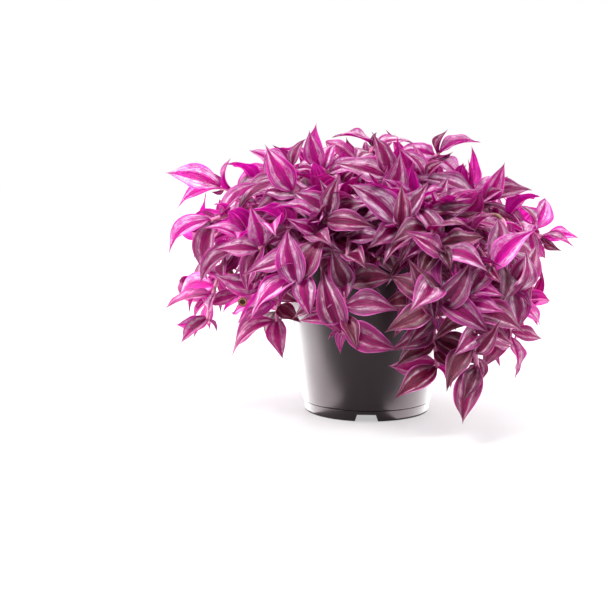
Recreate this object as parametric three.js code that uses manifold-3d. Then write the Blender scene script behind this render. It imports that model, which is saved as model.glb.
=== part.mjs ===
// Potted tradescantia: a black nursery pot full of soil, and leafy shoots that rise from the soil,
// arch over the rim and hang round the pot. Millimetres, +Z up, the front towards -Y. The origin is
// on the surface it stands on, at the pot's axis.
import * as THREE from "three";
import { mergeVertices } from "three/addons/utils/BufferGeometryUtils.js";
import Module from "manifold-3d";

// Pot
const POT_HEIGHT = 150;
const POT_BASE_RADIUS = 54.3;
const POT_RIM_RADIUS = 75.5;
const POT_WALL = 1.6;
const POT_SIDES = 36;
const BAND_HEIGHT = 13.5; // the thick band under the rim
const BAND_STEP = 1.5;
const RIM_CHAMFER = 0.6;
const FOOT_HEIGHT = 9.5; // the slightly narrower foot below the wall
const FOOT_INSET = 0.8;
const FOOT_RING_WIDTH = 6;
const BASE_LIFT = 4; // the underside inside the foot ring
const BASE_THICKNESS = 1.8;
const NOTCH_COUNT = 3; // trapezoid drainage notches in the foot
const NOTCH_BOTTOM = 20;
const NOTCH_TOP = 15;
const NOTCH_HEIGHT = 6.4;
const NOTCH_DEPTH = 16; // past the inner side of the foot ring, also at the notch corners
const DRAIN_COUNT = 5;
const DRAIN_RADIUS = 4;
const DRAIN_CIRCLE = 30;

// Soil
const SOIL_GAP = 0.5;
const SOIL_HEIGHT = 134;
const SOIL_SIDES = 20;

// Stems
const STEM_RADIUS = 1.7;
const STEM_SIDES = 3;
const STEM_STEP = 24; // one straight stretch of the faceted stem
const ROOT_DEPTH = 10;
const HOLE_SIDES = 4;
const HOLE_GAP = 0.35;

// Leaves. A station is a cross-section: how far along the leaf it lies, from 0 to 1.
const LEAF_STATIONS = [0.16, 0.42, 0.72];
const SMALL_LEAF = 44; // a leaf shorter than this has fewer stations
const SMALL_STATIONS = [0.24, 0.62];
const LEAF_WIDEST = 0.42;
const LEAF_RATIO = 0.215; // half the width, over the length
const LEAF_RIB = 1.4; // thickness at the midrib
const LEAF_FOLD = 24; // degrees that each half rises from flat
const LEAF_BOW = 0.11; // height of the arch, over the length
const NODE_SPACING = 19; // between the leaves down a stem
const FIRST_STEM_LEAF = 24;
const STAR_SPACING = 4.2; // between the leaves crowded at a tip
const SHOOT_LEAVES = 7;
const CLEAR = 0.7; // the least gap between leaves of different shoots
const CLEAR_OWN = 0.25; // the least gap between leaves of one shoot
const FREE_FROM = 0.22; // a leaf may touch its own shoot below this share of its length
const LOWEST_LEAF = 9; // above the surface that the pot stands on
const SEED = 20240;

// Shoots at the front. tip: where the stem ends. Each leaf of the star at the tip: its angle in the
// upright plane that faces the viewer, anticlockwise from the right, its length, how many degrees it
// leans towards the viewer, and how far below the tip it leaves the stem, where that isn't the usual.
const FRONT_SHOOTS = [
  {
    tip: [-124, -25, 192],
    leaves: [
      [165, 46, 0], [198, 45, 0], [87, 30, 35], [352, 42, 50], [24, 46, -20, 15],
    ],
  },
  {
    tip: [-127, -60, 166],
    leaves: [
      [216, 44, 4], [261, 50, 0], [42, 43, 8], [120, 22, 45], [230, 55, -16, 12], [28, 54, -5, 26],
    ],
  },
  { tip: [-106, -70, 141], leaves: [[221, 40, 10], [254, 34, -35], [150, 36, 30]] },
  {
    tip: [-84, -100, 145],
    leaves: [
      [179, 36, 15], [104, 36, 20], [251, 42, 8], [28, 28, 30], [300, 38, -25, 10],
    ],
  },
  { tip: [-83, -85, 113], leaves: [[163, 38, 5], [336, 34, 20], [200, 36, -30]] },
  { tip: [-52, -125, 119], leaves: [[101, 44, -12], [61, 42, 0], [220, 48, 8], [272, 38, 15]] },
  { tip: [-131, -60, 82], leaves: [[185, 26, 0], [222, 33, 8], [71, 24, 30], [20, 32, 0, 16]] },
  { tip: [-73, -70, 85], leaves: [[217, 46, 0], [278, 34, 5], [250, 32, -30], [330, 30, 40]] },
  {
    tip: [-18, -125, 84],
    leaves: [
      [107, 54, -5], [340, 47, 10], [180, 34, 10], [295, 34, 15], [112, 45, -8, 24], [356, 43, 8, 21],
      [5, 38, -12, 38], [107, 36, 25, 36],
    ],
  },
  {
    tip: [51, -132, 97],
    leaves: [
      [115, 50, 4], [57, 46, -4], [206, 42, 8], [330, 46, 8], [268, 24, 40], [150, 40, -30, 12],
    ],
  },
  {
    tip: [54, -105, 55],
    leaves: [
      [214, 42, 20], [187, 38, -12], [16, 40, 0], [318, 30, 40], [40, 28, -35, 8],
    ],
  },
  {
    tip: [56, -128, 143],
    leaves: [
      [145, 36, 15], [338, 38, 12], [298, 24, 45], [252, 32, 25], [10, 38, -20, 12], [124, 38, -28, 14],
    ],
  },
  { tip: [94, -112, 131], leaves: [[45, 46, 8], [232, 36, 25], [76, 40, -30], [250, 38, 0, 14]] },
  { tip: [115, -75, 110], leaves: [[81, 40, 25], [60, 40, -8], [280, 42, 4], [10, 36, -30]] },
  {
    tip: [114, -70, 74],
    leaves: [
      [279, 34, 5], [345, 30, -20], [241, 42, 0, 10], [58, 38, 0, 14], [120, 32, 20],
    ],
  },
  { tip: [82, -128, 59], leaves: [[245, 30, 25], [259, 47, 0], [290, 24, -35], [60, 36, 20, 12]] },
  {
    tip: [146, -30, 150],
    leaves: [
      [2, 29, 0], [345, 30, 20], [122, 34, 30], [60, 40, -40], [255, 40, 10, 14], [150, 40, 0, 20],
    ],
  },
  {
    tip: [96, -35, 181],
    leaves: [
      [65, 36, 12], [356, 52, 0], [160, 58, 5, 8], [220, 32, 35], [320, 34, 20], [40, 40, -25, 12],
    ],
  },
  {
    tip: [24, -112, 163],
    leaves: [
      [90, 36, 10], [140, 50, -5], [218, 36, 35], [52, 40, -8, 10], [5, 30, 35], [322, 40, 30],
    ],
  },
  {
    tip: [-33, -100, 167],
    leaves: [
      [355, 43, 10], [20, 42, -15], [76, 36, 20], [228, 28, 35], [150, 38, -10],
    ],
  },
  {
    tip: [-60, -70, 190],
    leaves: [
      [120, 42, 10], [4, 36, 20], [304, 34, 40], [205, 42, 10, 8], [178, 38, -15, 12],
    ],
  },
  { tip: [-67, -20, 211], leaves: [[160, 34, 0], [65, 28, -10], [338, 32, 40], [250, 36, 30]] },
  {
    tip: [-40, -28, 208],
    leaves: [
      [106, 32, 0], [70, 32, -35], [19, 36, 0], [300, 34, 45], [200, 36, 10],
    ],
  },
  { tip: [6, 5, 228], leaves: [[166, 36, 0], [10, 36, 0], [215, 34, 40], [320, 34, 40], [90, 30, -50]] },
  { tip: [18, -45, 202], leaves: [[112, 40, 5], [165, 48, 5], [335, 44, 20], [230, 36, 40]] },
  { tip: [60, -5, 221], leaves: [[17, 36, 0], [180, 36, 10], [320, 36, 30], [120, 30, -50]] },
  { tip: [50, -40, 200], leaves: [[2, 50, 0], [130, 34, 0], [330, 38, 35], [215, 38, 35]] },
  { tip: [-30, -84, 148], leaves: [[75, 42, 5], [200, 34, 20], [285, 38, 12], [340, 36, 30]] },
  { tip: [8, -92, 138], leaves: [[60, 44, 0], [130, 44, 8], [230, 34, 25], [335, 36, 22]] },
  { tip: [44, -88, 160], leaves: [[30, 42, 12], [165, 36, 10], [255, 42, 14], [310, 36, 30]] },
  { tip: [98, 6, 156], leaves: [[70, 40, -10], [150, 38, -35], [290, 40, 10], [350, 42, 0]] },
  { tip: [116, -4, 104], leaves: [[75, 40, -20], [255, 44, 0], [310, 42, 0], [200, 38, 10]] },
  { tip: [-100, 2, 150], leaves: [[110, 40, -20], [190, 42, 0], [250, 42, 0], [30, 36, -20]] },
];

// Shoots round the sides and the back, in tiers from low to high, spaced evenly over their arc.
// Bearings are degrees from the front, to the right; reach is the tip's distance from the axis.
const TIERS = [
  { count: 7, from: 92, to: 262, reach: 140, height: 84 },
  { count: 7, from: 100, to: 270, reach: 145, height: 140 },
  { count: 5, from: 100, to: 268, reach: 112, height: 180 },
  { count: 3, from: 120, to: 240, reach: 60, height: 200 },
];
const TIER_JITTER = { bearing: 6, reach: 8, height: 10 };
const TIER_STAR = 5; // leaves in the star of such a shoot
const STAR_TURN = 78; // degrees from one leaf of the star to the next

// A stem ends level where its tip is this high, points up above it and hangs down below it
const LEVEL_HEIGHT = 182;
const TURN_PER_MM = 0.95;
const STEEPEST_DOWN = 80;
const STEEPEST_UP = -55;
const CROWN_HEIGHT = 176; // a hanging stem's arch reaches for this height before it falls

// Where a leaf or stem would touch another, the next change in its list is tried.
// Leaf: degrees of angle, degrees of lean, share of the length.
const LEAF_TRIES = [
  [0, 0, 1], [0, 12, 1], [0, -12, 1], [10, 0, 1], [-10, 0, 1], [0, 24, 0.95], [0, -24, 0.95],
  [14, 14, 0.95], [-14, 14, 0.95], [14, -14, 0.92], [-14, -14, 0.92], [24, 0, 0.9], [-24, 0, 0.9],
  [0, 36, 0.85], [0, -36, 0.85], [30, 22, 0.85], [-30, 22, 0.85], [30, -22, 0.8], [-30, -22, 0.8],
  [0, 0, 0.72], [0, 50, 0.75], [42, 10, 0.75], [-42, 10, 0.75], [20, 20, 0.62], [-20, 20, 0.62],
  [20, -20, 0.62], [-20, -20, 0.62], [0, 0, 0.5],
];
// Stem: degrees round the soil, millimetres outwards at the root, millimetres higher in the arch.
const STEM_TRIES = [
  [0, 0, 0], [0, 0, 10], [5, 0, 0], [-5, 0, 0], [0, -6, 5], [6, -6, 0], [-6, -6, 0], [9, 0, 12],
  [-9, 0, 12], [0, -12, 15], [12, -6, 6], [-12, -6, 6], [14, -12, 20], [-14, -12, 20], [20, 0, 0],
  [-20, 0, 0], [20, -14, 25], [-20, -14, 25],
];

// Finishes
const BLACK_PLASTIC = { color: 0x2b2629, roughness: 0.32, metalness: 0 };
const DARK_SOIL = { color: 0x2a1d14, roughness: 0.95, metalness: 0 };
const MAGENTA_LEAF = { color: 0xa83a7c, roughness: 0.5, metalness: 0 };

const UP = new THREE.Vector3(0, 0, 1);
const DEGREE = Math.PI / 180;
const wasm = await Module();
wasm.setup();

// Draws from a seeded row of numbers, so that the plant is the same each time
let drawState = SEED;
function draw(low, high) {
  drawState = (drawState * 16807) % 2147483647;
  return low + (high - low) * (drawState / 2147483647);
}

// A closed three.js geometry as a solid that can be joined and cut
function solidOf(geometry) {
  const bare = geometry.clone();
  bare.deleteAttribute("normal");
  bare.deleteAttribute("uv");
  const merged = mergeVertices(bare, 1e-4);
  const vertProperties = new Float32Array(merged.attributes.position.array);
  const triVerts = new Uint32Array(merged.index.array);
  return new wasm.Manifold(new wasm.Mesh({ numProp: 3, vertProperties, triVerts }));
}

// A solid as a named mesh with its own finish
function meshOf(name, solid, finish) {
  const { vertProperties, triVerts } = solid.getMesh();
  const geometry = new THREE.BufferGeometry();
  geometry.setAttribute("position", new THREE.BufferAttribute(vertProperties, 3));
  geometry.setIndex(new THREE.BufferAttribute(triVerts, 1));
  geometry.computeVertexNormals();
  const mesh = new THREE.Mesh(geometry, new THREE.MeshStandardMaterial(finish));
  mesh.name = name;
  return mesh;
}

// A solid of revolution round Z from [radius, height] points that start and end on the axis
function turned(points, sides) {
  const profile = points.map(([radius, height]) => new THREE.Vector2(radius, height));
  return solidOf(new THREE.LatheGeometry(profile, sides).rotateX(Math.PI / 2));
}

// The horizontal direction at a bearing in degrees from the front, to the right
function outward(bearing) {
  return new THREE.Vector3(Math.sin(bearing * DEGREE), -Math.cos(bearing * DEGREE), 0);
}

// The outer radius of the pot's wall at a height, without the rim band
function wallRadius(height) {
  const top = POT_RIM_RADIUS - BAND_STEP;
  return POT_BASE_RADIUS + ((top - POT_BASE_RADIUS) * height) / POT_HEIGHT;
}

// The foot's trapezoid notches, as one solid to cut away
function notches() {
  const outline = new THREE.Shape([
    new THREE.Vector2(-NOTCH_BOTTOM / 2, -1),
    new THREE.Vector2(NOTCH_BOTTOM / 2, -1),
    new THREE.Vector2(NOTCH_TOP / 2, NOTCH_HEIGHT),
    new THREE.Vector2(-NOTCH_TOP / 2, NOTCH_HEIGHT),
  ]);
  const bar = new THREE.ExtrudeGeometry(outline, { depth: NOTCH_DEPTH, bevelEnabled: false });
  bar.rotateX(Math.PI / 2);
  bar.translate(0, NOTCH_DEPTH / 2 - POT_BASE_RADIUS, 0);
  const cuts = [];
  for (let i = 0; i < NOTCH_COUNT; i += 1) {
    cuts.push(solidOf(bar.clone().rotateZ((i * 2 * Math.PI) / NOTCH_COUNT)));
  }
  return wasm.Manifold.union(cuts);
}

// The round drainage holes in the base, as one solid to cut away
function drains() {
  const pin = new THREE.CylinderGeometry(DRAIN_RADIUS, DRAIN_RADIUS, 4 * BASE_THICKNESS, 8);
  pin.rotateX(Math.PI / 2);
  pin.translate(0, DRAIN_CIRCLE, BASE_LIFT + BASE_THICKNESS / 2);
  const cuts = [];
  for (let i = 0; i < DRAIN_COUNT; i += 1) {
    cuts.push(solidOf(pin.clone().rotateZ((i * 2 * Math.PI) / DRAIN_COUNT)));
  }
  return wasm.Manifold.union(cuts);
}

function pot() {
  const bandBottom = POT_HEIGHT - BAND_HEIGHT;
  const floor = BASE_LIFT + BASE_THICKNESS;
  const ring = POT_BASE_RADIUS - FOOT_INSET;
  const shell = turned(
    [
      [0, BASE_LIFT],
      [ring - FOOT_RING_WIDTH, BASE_LIFT],
      [ring - FOOT_RING_WIDTH, 0],
      [ring, 0],
      [wallRadius(FOOT_HEIGHT) - FOOT_INSET, FOOT_HEIGHT],
      [wallRadius(FOOT_HEIGHT), FOOT_HEIGHT],
      [wallRadius(bandBottom), bandBottom],
      [wallRadius(bandBottom) + BAND_STEP, bandBottom],
      [POT_RIM_RADIUS, POT_HEIGHT - RIM_CHAMFER],
      [POT_RIM_RADIUS - RIM_CHAMFER, POT_HEIGHT],
      [wallRadius(POT_HEIGHT) - POT_WALL, POT_HEIGHT],
      [wallRadius(floor) - POT_WALL, floor],
      [0, floor],
    ],
    POT_SIDES,
  );
  return shell.subtract(notches()).subtract(drains());
}

function soilBody() {
  const floor = BASE_LIFT + BASE_THICKNESS + SOIL_GAP;
  const edge = (height) => wallRadius(height) - POT_WALL - SOIL_GAP;
  return turned(
    [
      [0, floor],
      [edge(floor), floor],
      [edge(SOIL_HEIGHT), SOIL_HEIGHT],
      [0, SOIL_HEIGHT],
    ],
    SOIL_SIDES,
  );
}

// The plain hole in the soil for a stem: straight along the stem's first stretch
function rootHole(stretches) {
  const [root, next] = stretches;
  const along = next.clone().sub(root).normalize();
  const radius = (STEM_RADIUS + HOLE_GAP) / Math.cos(Math.PI / HOLE_SIDES);
  const length = 2.5 * ROOT_DEPTH;
  const pin = new THREE.CylinderGeometry(radius, radius, length, HOLE_SIDES);
  pin.translate(0, length / 2 - HOLE_GAP, 0);
  pin.applyQuaternion(new THREE.Quaternion().setFromUnitVectors(new THREE.Vector3(0, 1, 0), along));
  pin.translate(root.x, root.y, root.z);
  return solidOf(pin);
}

// The curve of a stem from its root in the soil to its tip, with the change of one try
function stemCurve(tip, [turn, shift, lift]) {
  const bearing = Math.atan2(tip.x, -tip.y) / DEGREE;
  const reach = Math.hypot(tip.x, tip.y);
  const low = Math.min(Math.max((230 - tip.z) / 150, 0), 1);
  const rootRadius = Math.min(Math.max(10 + 46 * low + shift, 4), 60);
  const root = outward(bearing + turn).multiplyScalar(rootRadius);
  root.z = SOIL_HEIGHT - ROOT_DEPTH;
  const down = Math.min(Math.max((LEVEL_HEIGHT - tip.z) * TURN_PER_MM, STEEPEST_UP), STEEPEST_DOWN);
  const side = outward(bearing);
  const end = side.multiplyScalar(Math.cos(down * DEGREE)).addScaledVector(UP, -Math.sin(down * DEGREE));
  const span = Math.hypot(reach - rootRadius, tip.z - root.z);
  const rise = 52 + 0.3 * (reach - rootRadius) + lift;
  const start = root.clone().addScaledVector(UP, rise).addScaledVector(outward(bearing + turn), 5);
  const fall = down > 20 ? (CROWN_HEIGHT - tip.z) / Math.sin(down * DEGREE) : 0;
  const crown = tip.clone().addScaledVector(end, -Math.max(0.5 * span, fall) - 0.25 * lift);
  return new THREE.CubicBezierCurve3(root, start, crown, tip);
}

// The same curve as straight stretches
function stretchesOf(curve) {
  return curve.getSpacedPoints(Math.round(curve.getLength() / STEM_STEP));
}

function stemSolid(curve, steps) {
  const section = new THREE.Shape();
  for (let i = 0; i < STEM_SIDES; i += 1) {
    const angle = (i * 2 * Math.PI) / STEM_SIDES;
    const corner = [STEM_RADIUS * Math.cos(angle), STEM_RADIUS * Math.sin(angle)];
    if (i === 0) {
      section.moveTo(...corner);
    } else {
      section.lineTo(...corner);
    }
  }
  const options = { steps, extrudePath: curve, bevelEnabled: false };
  return solidOf(new THREE.ExtrudeGeometry(section, options));
}

// The point and direction at a distance down the stem from its tip. Null past the root.
function stemPlace(stretches, distance) {
  let left = distance;
  for (let i = stretches.length - 1; i > 0; i -= 1) {
    const stretch = stretches[i].clone().sub(stretches[i - 1]);
    const length = stretch.length();
    if (left <= length) {
      const along = stretch.divideScalar(length);
      return { point: stretches[i].clone().addScaledVector(along, -left), along };
    }
    left -= length;
  }
  return null;
}

// Half the leaf's width at a share of its length, over the widest half
function leafOutline(share) {
  if (share < LEAF_WIDEST) {
    return Math.sin((Math.PI * share) / (2 * LEAF_WIDEST)) ** 1.5;
  }
  return (1 - ((share - LEAF_WIDEST) / (1 - LEAF_WIDEST)) ** 1.7) ** 1.15;
}

// One leaf from its root inside the stem: a folded, arched blade, thick at the midrib, sharp at the
// margins. Both faces are split alike.
function leafSolid({ base, chord, face, fold, bow, ratio }, from = 0) {
  const length = chord.length();
  const across = chord.clone().cross(face).normalize();
  const arch = 4 * bow * length;
  const spine = (share) =>
    base.clone().addScaledVector(chord, share).addScaledVector(face, arch * share * (1 - share));
  const corners = [];
  const add = (point) => corners.push(point.x, point.y, point.z);
  add(spine(from));
  const stations = length < SMALL_LEAF ? SMALL_STATIONS : LEAF_STATIONS;
  for (const station of stations) {
    const share = from + (1 - from) * station;
    const slope = chord.clone().addScaledVector(face, arch * (1 - 2 * share)).normalize();
    const normal = across.clone().cross(slope).normalize();
    const half = ratio * length * leafOutline(share);
    const middle = spine(share);
    const edge = (sign) =>
      middle
        .clone()
        .addScaledVector(across, sign * half * Math.cos(fold))
        .addScaledVector(normal, half * Math.sin(fold));
    add(edge(-1));
    add(middle.clone().addScaledVector(normal, LEAF_RIB / 2));
    add(edge(1));
    add(middle.clone().addScaledVector(normal, -LEAF_RIB / 2));
  }
  add(spine(1));
  const ring = (k, j) => 1 + 4 * k + (j % 4);
  const last = stations.length - 1;
  const index = [];
  for (let j = 0; j < 4; j += 1) {
    index.push(0, ring(0, j + 1), ring(0, j));
    index.push(4 * last + 5, ring(last, j), ring(last, j + 1));
    for (let k = 0; k < last; k += 1) {
      const [a, b, c, d] = [ring(k, j), ring(k, j + 1), ring(k + 1, j + 1), ring(k + 1, j)];
      const split = j % 2 === 0 ? [a, b, c, a, c, d] : [a, b, d, b, c, d];
      index.push(...split);
    }
  }
  const geometry = new THREE.BufferGeometry();
  geometry.setAttribute("position", new THREE.Float32BufferAttribute(corners, 3));
  geometry.setIndex(index);
  return solidOf(geometry);
}

// The leaf that a place on the stem, a direction and the draws give, with the change of one try
function leafFrom(seat, [turn, lean, scale]) {
  const angle = (seat.angle + turn) * DEGREE;
  const lift = Math.min(seat.lift + lean, 80) * DEGREE;
  const chord = seat.right.clone().multiplyScalar(Math.cos(angle)).addScaledVector(seat.top, Math.sin(angle));
  chord.multiplyScalar(Math.cos(lift)).addScaledVector(seat.front, Math.sin(lift));
  const light = seat.light.clone().addScaledVector(chord, -seat.light.dot(chord));
  if (light.length() < 0.3) {
    light.copy(seat.top).addScaledVector(chord, -seat.top.dot(chord));
  }
  light.normalize();
  const side = chord.clone().cross(light);
  const face = light.multiplyScalar(Math.cos(seat.roll)).addScaledVector(side, Math.sin(seat.roll));
  chord.multiplyScalar(seat.length * scale);
  return { base: seat.base, chord, face, fold: seat.fold, bow: seat.bow, ratio: seat.ratio };
}

// The seats of a shoot's leaves: the star at the tip, then single leaves down the stem
function leafSeats(shoot, stretches) {
  const front = outward(shoot.facing);
  const right = outward(shoot.facing + 90);
  const tip = stretches[stretches.length - 1];
  const light = front.clone().multiplyScalar(0.55).addScaledVector(UP, 0.6);
  light.addScaledVector(new THREE.Vector3(tip.x, tip.y, 0).normalize(), 0.4).normalize();
  const seats = [];
  const seat = (distance, frame, angle, length, lift) => {
    const manner = {
      length: length * draw(0.96, 1.06),
      roll: draw(-14, 14) * DEGREE,
      fold: LEAF_FOLD * draw(0.6, 1.3) * DEGREE,
      bow: LEAF_BOW * draw(0.5, 1.5),
      ratio: LEAF_RATIO * draw(0.88, 1.1),
    };
    const place = stemPlace(stretches, distance);
    if (place) {
      seats.push({ base: place.point, angle, lift, ...frame, ...manner });
    }
  };
  shoot.leaves.forEach(([angle, length, lift, distance], i) => {
    seat(distance ?? 0.6 + STAR_SPACING * i, { front, right, top: UP, light }, angle, length, lift);
  });
  const lowest = Math.max(...shoot.leaves.map((leaf) => leaf[3] ?? 0));
  let distance = Math.max(FIRST_STEM_LEAF, lowest + 0.8 * NODE_SPACING);
  for (let i = shoot.leaves.length; i < SHOOT_LEAVES; i += 1) {
    const place = stemPlace(stretches, distance);
    if (place) {
      const along = place.along;
      const out = place.point.clone().setZ(0).normalize().multiplyScalar(0.6).add(UP);
      out.addScaledVector(along, -out.dot(along)).normalize();
      const frame = { front: out, right: along.clone().cross(out), top: along, light: out };
      const side = i % 2 === 0 ? 1 : -1;
      seat(distance, frame, 90 - side * draw(42, 66), draw(40, 50), draw(8, 26));
    }
    distance += NODE_SPACING * draw(0.9, 1.15);
  }
  return seats;
}

// Whether a solid keeps at least a gap to each of the placed solids near it
function isClear(solid, placed, gap) {
  const { min, max } = solid.boundingBox();
  return placed.every((other) => {
    const near = [0, 1, 2].every((i) => min[i] - gap < other.max[i] && max[i] + gap > other.min[i]);
    return !near || solid.minGap(other.solid, gap + 0.01) >= gap;
  });
}

function placedAs(solid) {
  const { min, max } = solid.boundingBox();
  return { solid, min, max };
}

// The shoots in order: those at the front, then each tier
function allShoots() {
  const shoots = FRONT_SHOOTS.map(({ tip, leaves }) => {
    return { tip: new THREE.Vector3(...tip), leaves, facing: 0 };
  });
  for (const { count, from, to, reach, height } of TIERS) {
    for (let i = 0; i < count; i += 1) {
      const even = from + ((to - from) * (i + 0.5)) / count;
      const bearing = even + draw(-TIER_JITTER.bearing, TIER_JITTER.bearing);
      const tip = outward(bearing).multiplyScalar(reach + draw(-TIER_JITTER.reach, TIER_JITTER.reach));
      tip.z = height + draw(-TIER_JITTER.height, TIER_JITTER.height);
      const leaves = [];
      let angle = draw(0, 360);
      for (let k = 0; k < TIER_STAR; k += 1) {
        leaves.push([angle, draw(36, 50), draw(-12, 28)]);
        angle += STAR_TURN + draw(-10, 10);
      }
      shoots.push({ tip, leaves, facing: bearing });
    }
  }
  return shoots;
}

// Grows every stem, then every leaf, each clear of what stands already
function growShoots(walls, ground) {
  const shoots = allShoots();
  const stems = [];
  for (const shoot of shoots) {
    for (const change of STEM_TRIES) {
      const curve = stemCurve(shoot.tip, change);
      const stretches = stretchesOf(curve);
      const solid = stemSolid(curve, stretches.length - 1);
      if (isClear(solid, [walls, ...stems], CLEAR)) {
        stems.push(placedAs(solid));
        Object.assign(shoot, { solid, stretches });
        break;
      }
      solid.delete();
    }
  }
  const grown = shoots.filter((shoot) => shoot.solid);
  const leaves = [];
  for (const shoot of grown) {
    const own = [];
    const others = [walls, ground, ...stems.filter((stem) => stem.solid !== shoot.solid), ...leaves];
    let whole = shoot.solid;
    for (const seat of leafSeats(shoot, shoot.stretches)) {
      const found = placeLeaf(seat, others, own, shoot.solid);
      if (found) {
        own.push(placedAs(found));
        whole = whole.add(found);
      }
    }
    leaves.push(...own);
    shoot.whole = whole;
  }
  return grown;
}

// The first try of a leaf that is clear of other shoots and of its own shoot's leaves, or failing
// that the first that is clear of other shoots alone
function placeLeaf(seat, others, own, stem) {
  let fallback = null;
  for (const change of LEAF_TRIES) {
    const leaf = leafFrom(seat, change);
    const solid = leafSolid(leaf);
    const low = solid.boundingBox().min[2];
    if (low >= LOWEST_LEAF && isClear(solid, others, CLEAR)) {
      const free = leafSolid(leaf, FREE_FROM);
      const alone = isClear(free, [...own, placedAs(stem)], CLEAR_OWN);
      free.delete();
      if (alone) {
        return solid;
      }
      fallback = fallback ?? solid;
    }
    if (solid !== fallback) {
      solid.delete();
    }
  }
  return fallback;
}

const plant = new THREE.Group();
const potSolid = pot();
const soilPlug = soilBody();
const shoots = growShoots(placedAs(potSolid), placedAs(soilPlug));
const soilSolid = soilPlug.subtract(wasm.Manifold.union(shoots.map((shoot) => rootHole(shoot.stretches))));
plant.add(meshOf("pot", potSolid, BLACK_PLASTIC));
plant.add(meshOf("soil", soilSolid, DARK_SOIL));
shoots.forEach((shoot, i) => {
  plant.add(meshOf(`shoot_${String(i + 1).padStart(2, "0")}`, shoot.whole, MAGENTA_LEAF));
});

export default plant;
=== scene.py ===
"""A potted tradescantia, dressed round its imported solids.

The shoots repeat the rule that placed the solid ones, in millimetres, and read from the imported
nodes which change of the rule each stem and leaf took. Fine blades, stems, pot and soil then
stand in for the faceted ones.
"""
import logging
import math
from dataclasses import dataclass, field
from enum import Enum
from typing import Iterable, Optional, Sequence

import bmesh
import bpy
import numpy as np
from mathutils import Euler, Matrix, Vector
from mathutils.bvhtree import BVHTree


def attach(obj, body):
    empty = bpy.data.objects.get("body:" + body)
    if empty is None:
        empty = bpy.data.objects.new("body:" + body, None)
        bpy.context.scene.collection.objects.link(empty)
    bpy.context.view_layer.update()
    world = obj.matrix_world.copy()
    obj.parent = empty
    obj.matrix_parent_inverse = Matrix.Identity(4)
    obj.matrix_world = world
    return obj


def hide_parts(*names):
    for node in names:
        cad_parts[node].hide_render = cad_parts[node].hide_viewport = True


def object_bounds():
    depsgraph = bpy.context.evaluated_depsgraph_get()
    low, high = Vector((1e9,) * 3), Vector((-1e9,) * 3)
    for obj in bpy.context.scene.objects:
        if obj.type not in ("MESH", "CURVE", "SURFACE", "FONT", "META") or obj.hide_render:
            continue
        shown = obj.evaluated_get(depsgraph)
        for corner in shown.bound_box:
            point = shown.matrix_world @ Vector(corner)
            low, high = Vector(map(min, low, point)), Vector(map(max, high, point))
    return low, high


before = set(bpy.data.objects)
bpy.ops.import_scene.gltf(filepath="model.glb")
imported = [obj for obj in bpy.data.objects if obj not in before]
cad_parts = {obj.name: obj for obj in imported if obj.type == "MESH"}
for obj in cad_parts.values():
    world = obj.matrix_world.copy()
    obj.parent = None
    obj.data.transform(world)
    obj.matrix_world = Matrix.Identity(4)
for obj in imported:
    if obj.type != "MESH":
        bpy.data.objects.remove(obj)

CAD_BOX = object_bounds()
LOG = logging.getLogger("tradescantia")
MM = 0.001
UP = np.array([0.0, 0.0, 1.0])
Point = np.ndarray
Triple = tuple[float, float, float]
Colour = Triple
Limits = tuple[float, float]
Tone = tuple[float, float]
Faces = list[tuple[int, ...]]
Materials = Sequence[bpy.types.Material]
Chance = np.random.Generator


class Slot(Enum):
    """The record's material slots."""

    POT = "pot_plastic"
    SOIL = "potting_soil"
    SHOOT = "leafy_shoot"


class Side(Enum):
    """The two faces of a blade, and which of its materials each takes."""

    UPPER = 0
    UNDER = 1


def srgb(red: int, green: int, blue: int) -> Colour:
    """A colour as a screen shows it, from 0 to 255, as the linear colour that shaders take."""
    return tuple(((c / 255 + 0.055) / 1.055) ** 2.4 if c > 10 else c / 3295 for c in (red, green, blue))


def unit(vector: Point) -> Point:
    """The vector at length 1."""
    return vector / np.linalg.norm(vector)


def radians(degrees: float) -> float:
    """An angle in radians."""
    return math.radians(degrees)


def outward(bearing: float) -> Point:
    """The horizontal direction at a bearing in degrees from the front, to the right."""
    return np.array([math.sin(radians(bearing)), -math.cos(radians(bearing)), 0.0])


def clamp(value: float, low: float, high: float) -> float:
    """The value, kept between two limits."""
    return min(max(value, low), high)


def ease(value: float, low: float, high: float) -> float:
    """How far a value has come from low to high, from 0 to 1, with soft ends."""
    share = clamp((value - low) / (high - low), 0.0, 1.0)
    return share * share * (3 - 2 * share)


class Draws:
    """A seeded row of numbers, the same as the one that placed the solids."""

    FACTOR = 16807
    MODULUS = 2147483647

    def __init__(self, seed: int) -> None:
        """Starts the row at a seed."""
        self.state = seed

    def between(self, low: float, high: float) -> float:
        """The next number, between two limits."""
        self.state = (self.state * self.FACTOR) % self.MODULUS
        return low + (high - low) * (self.state / self.MODULUS)


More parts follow.
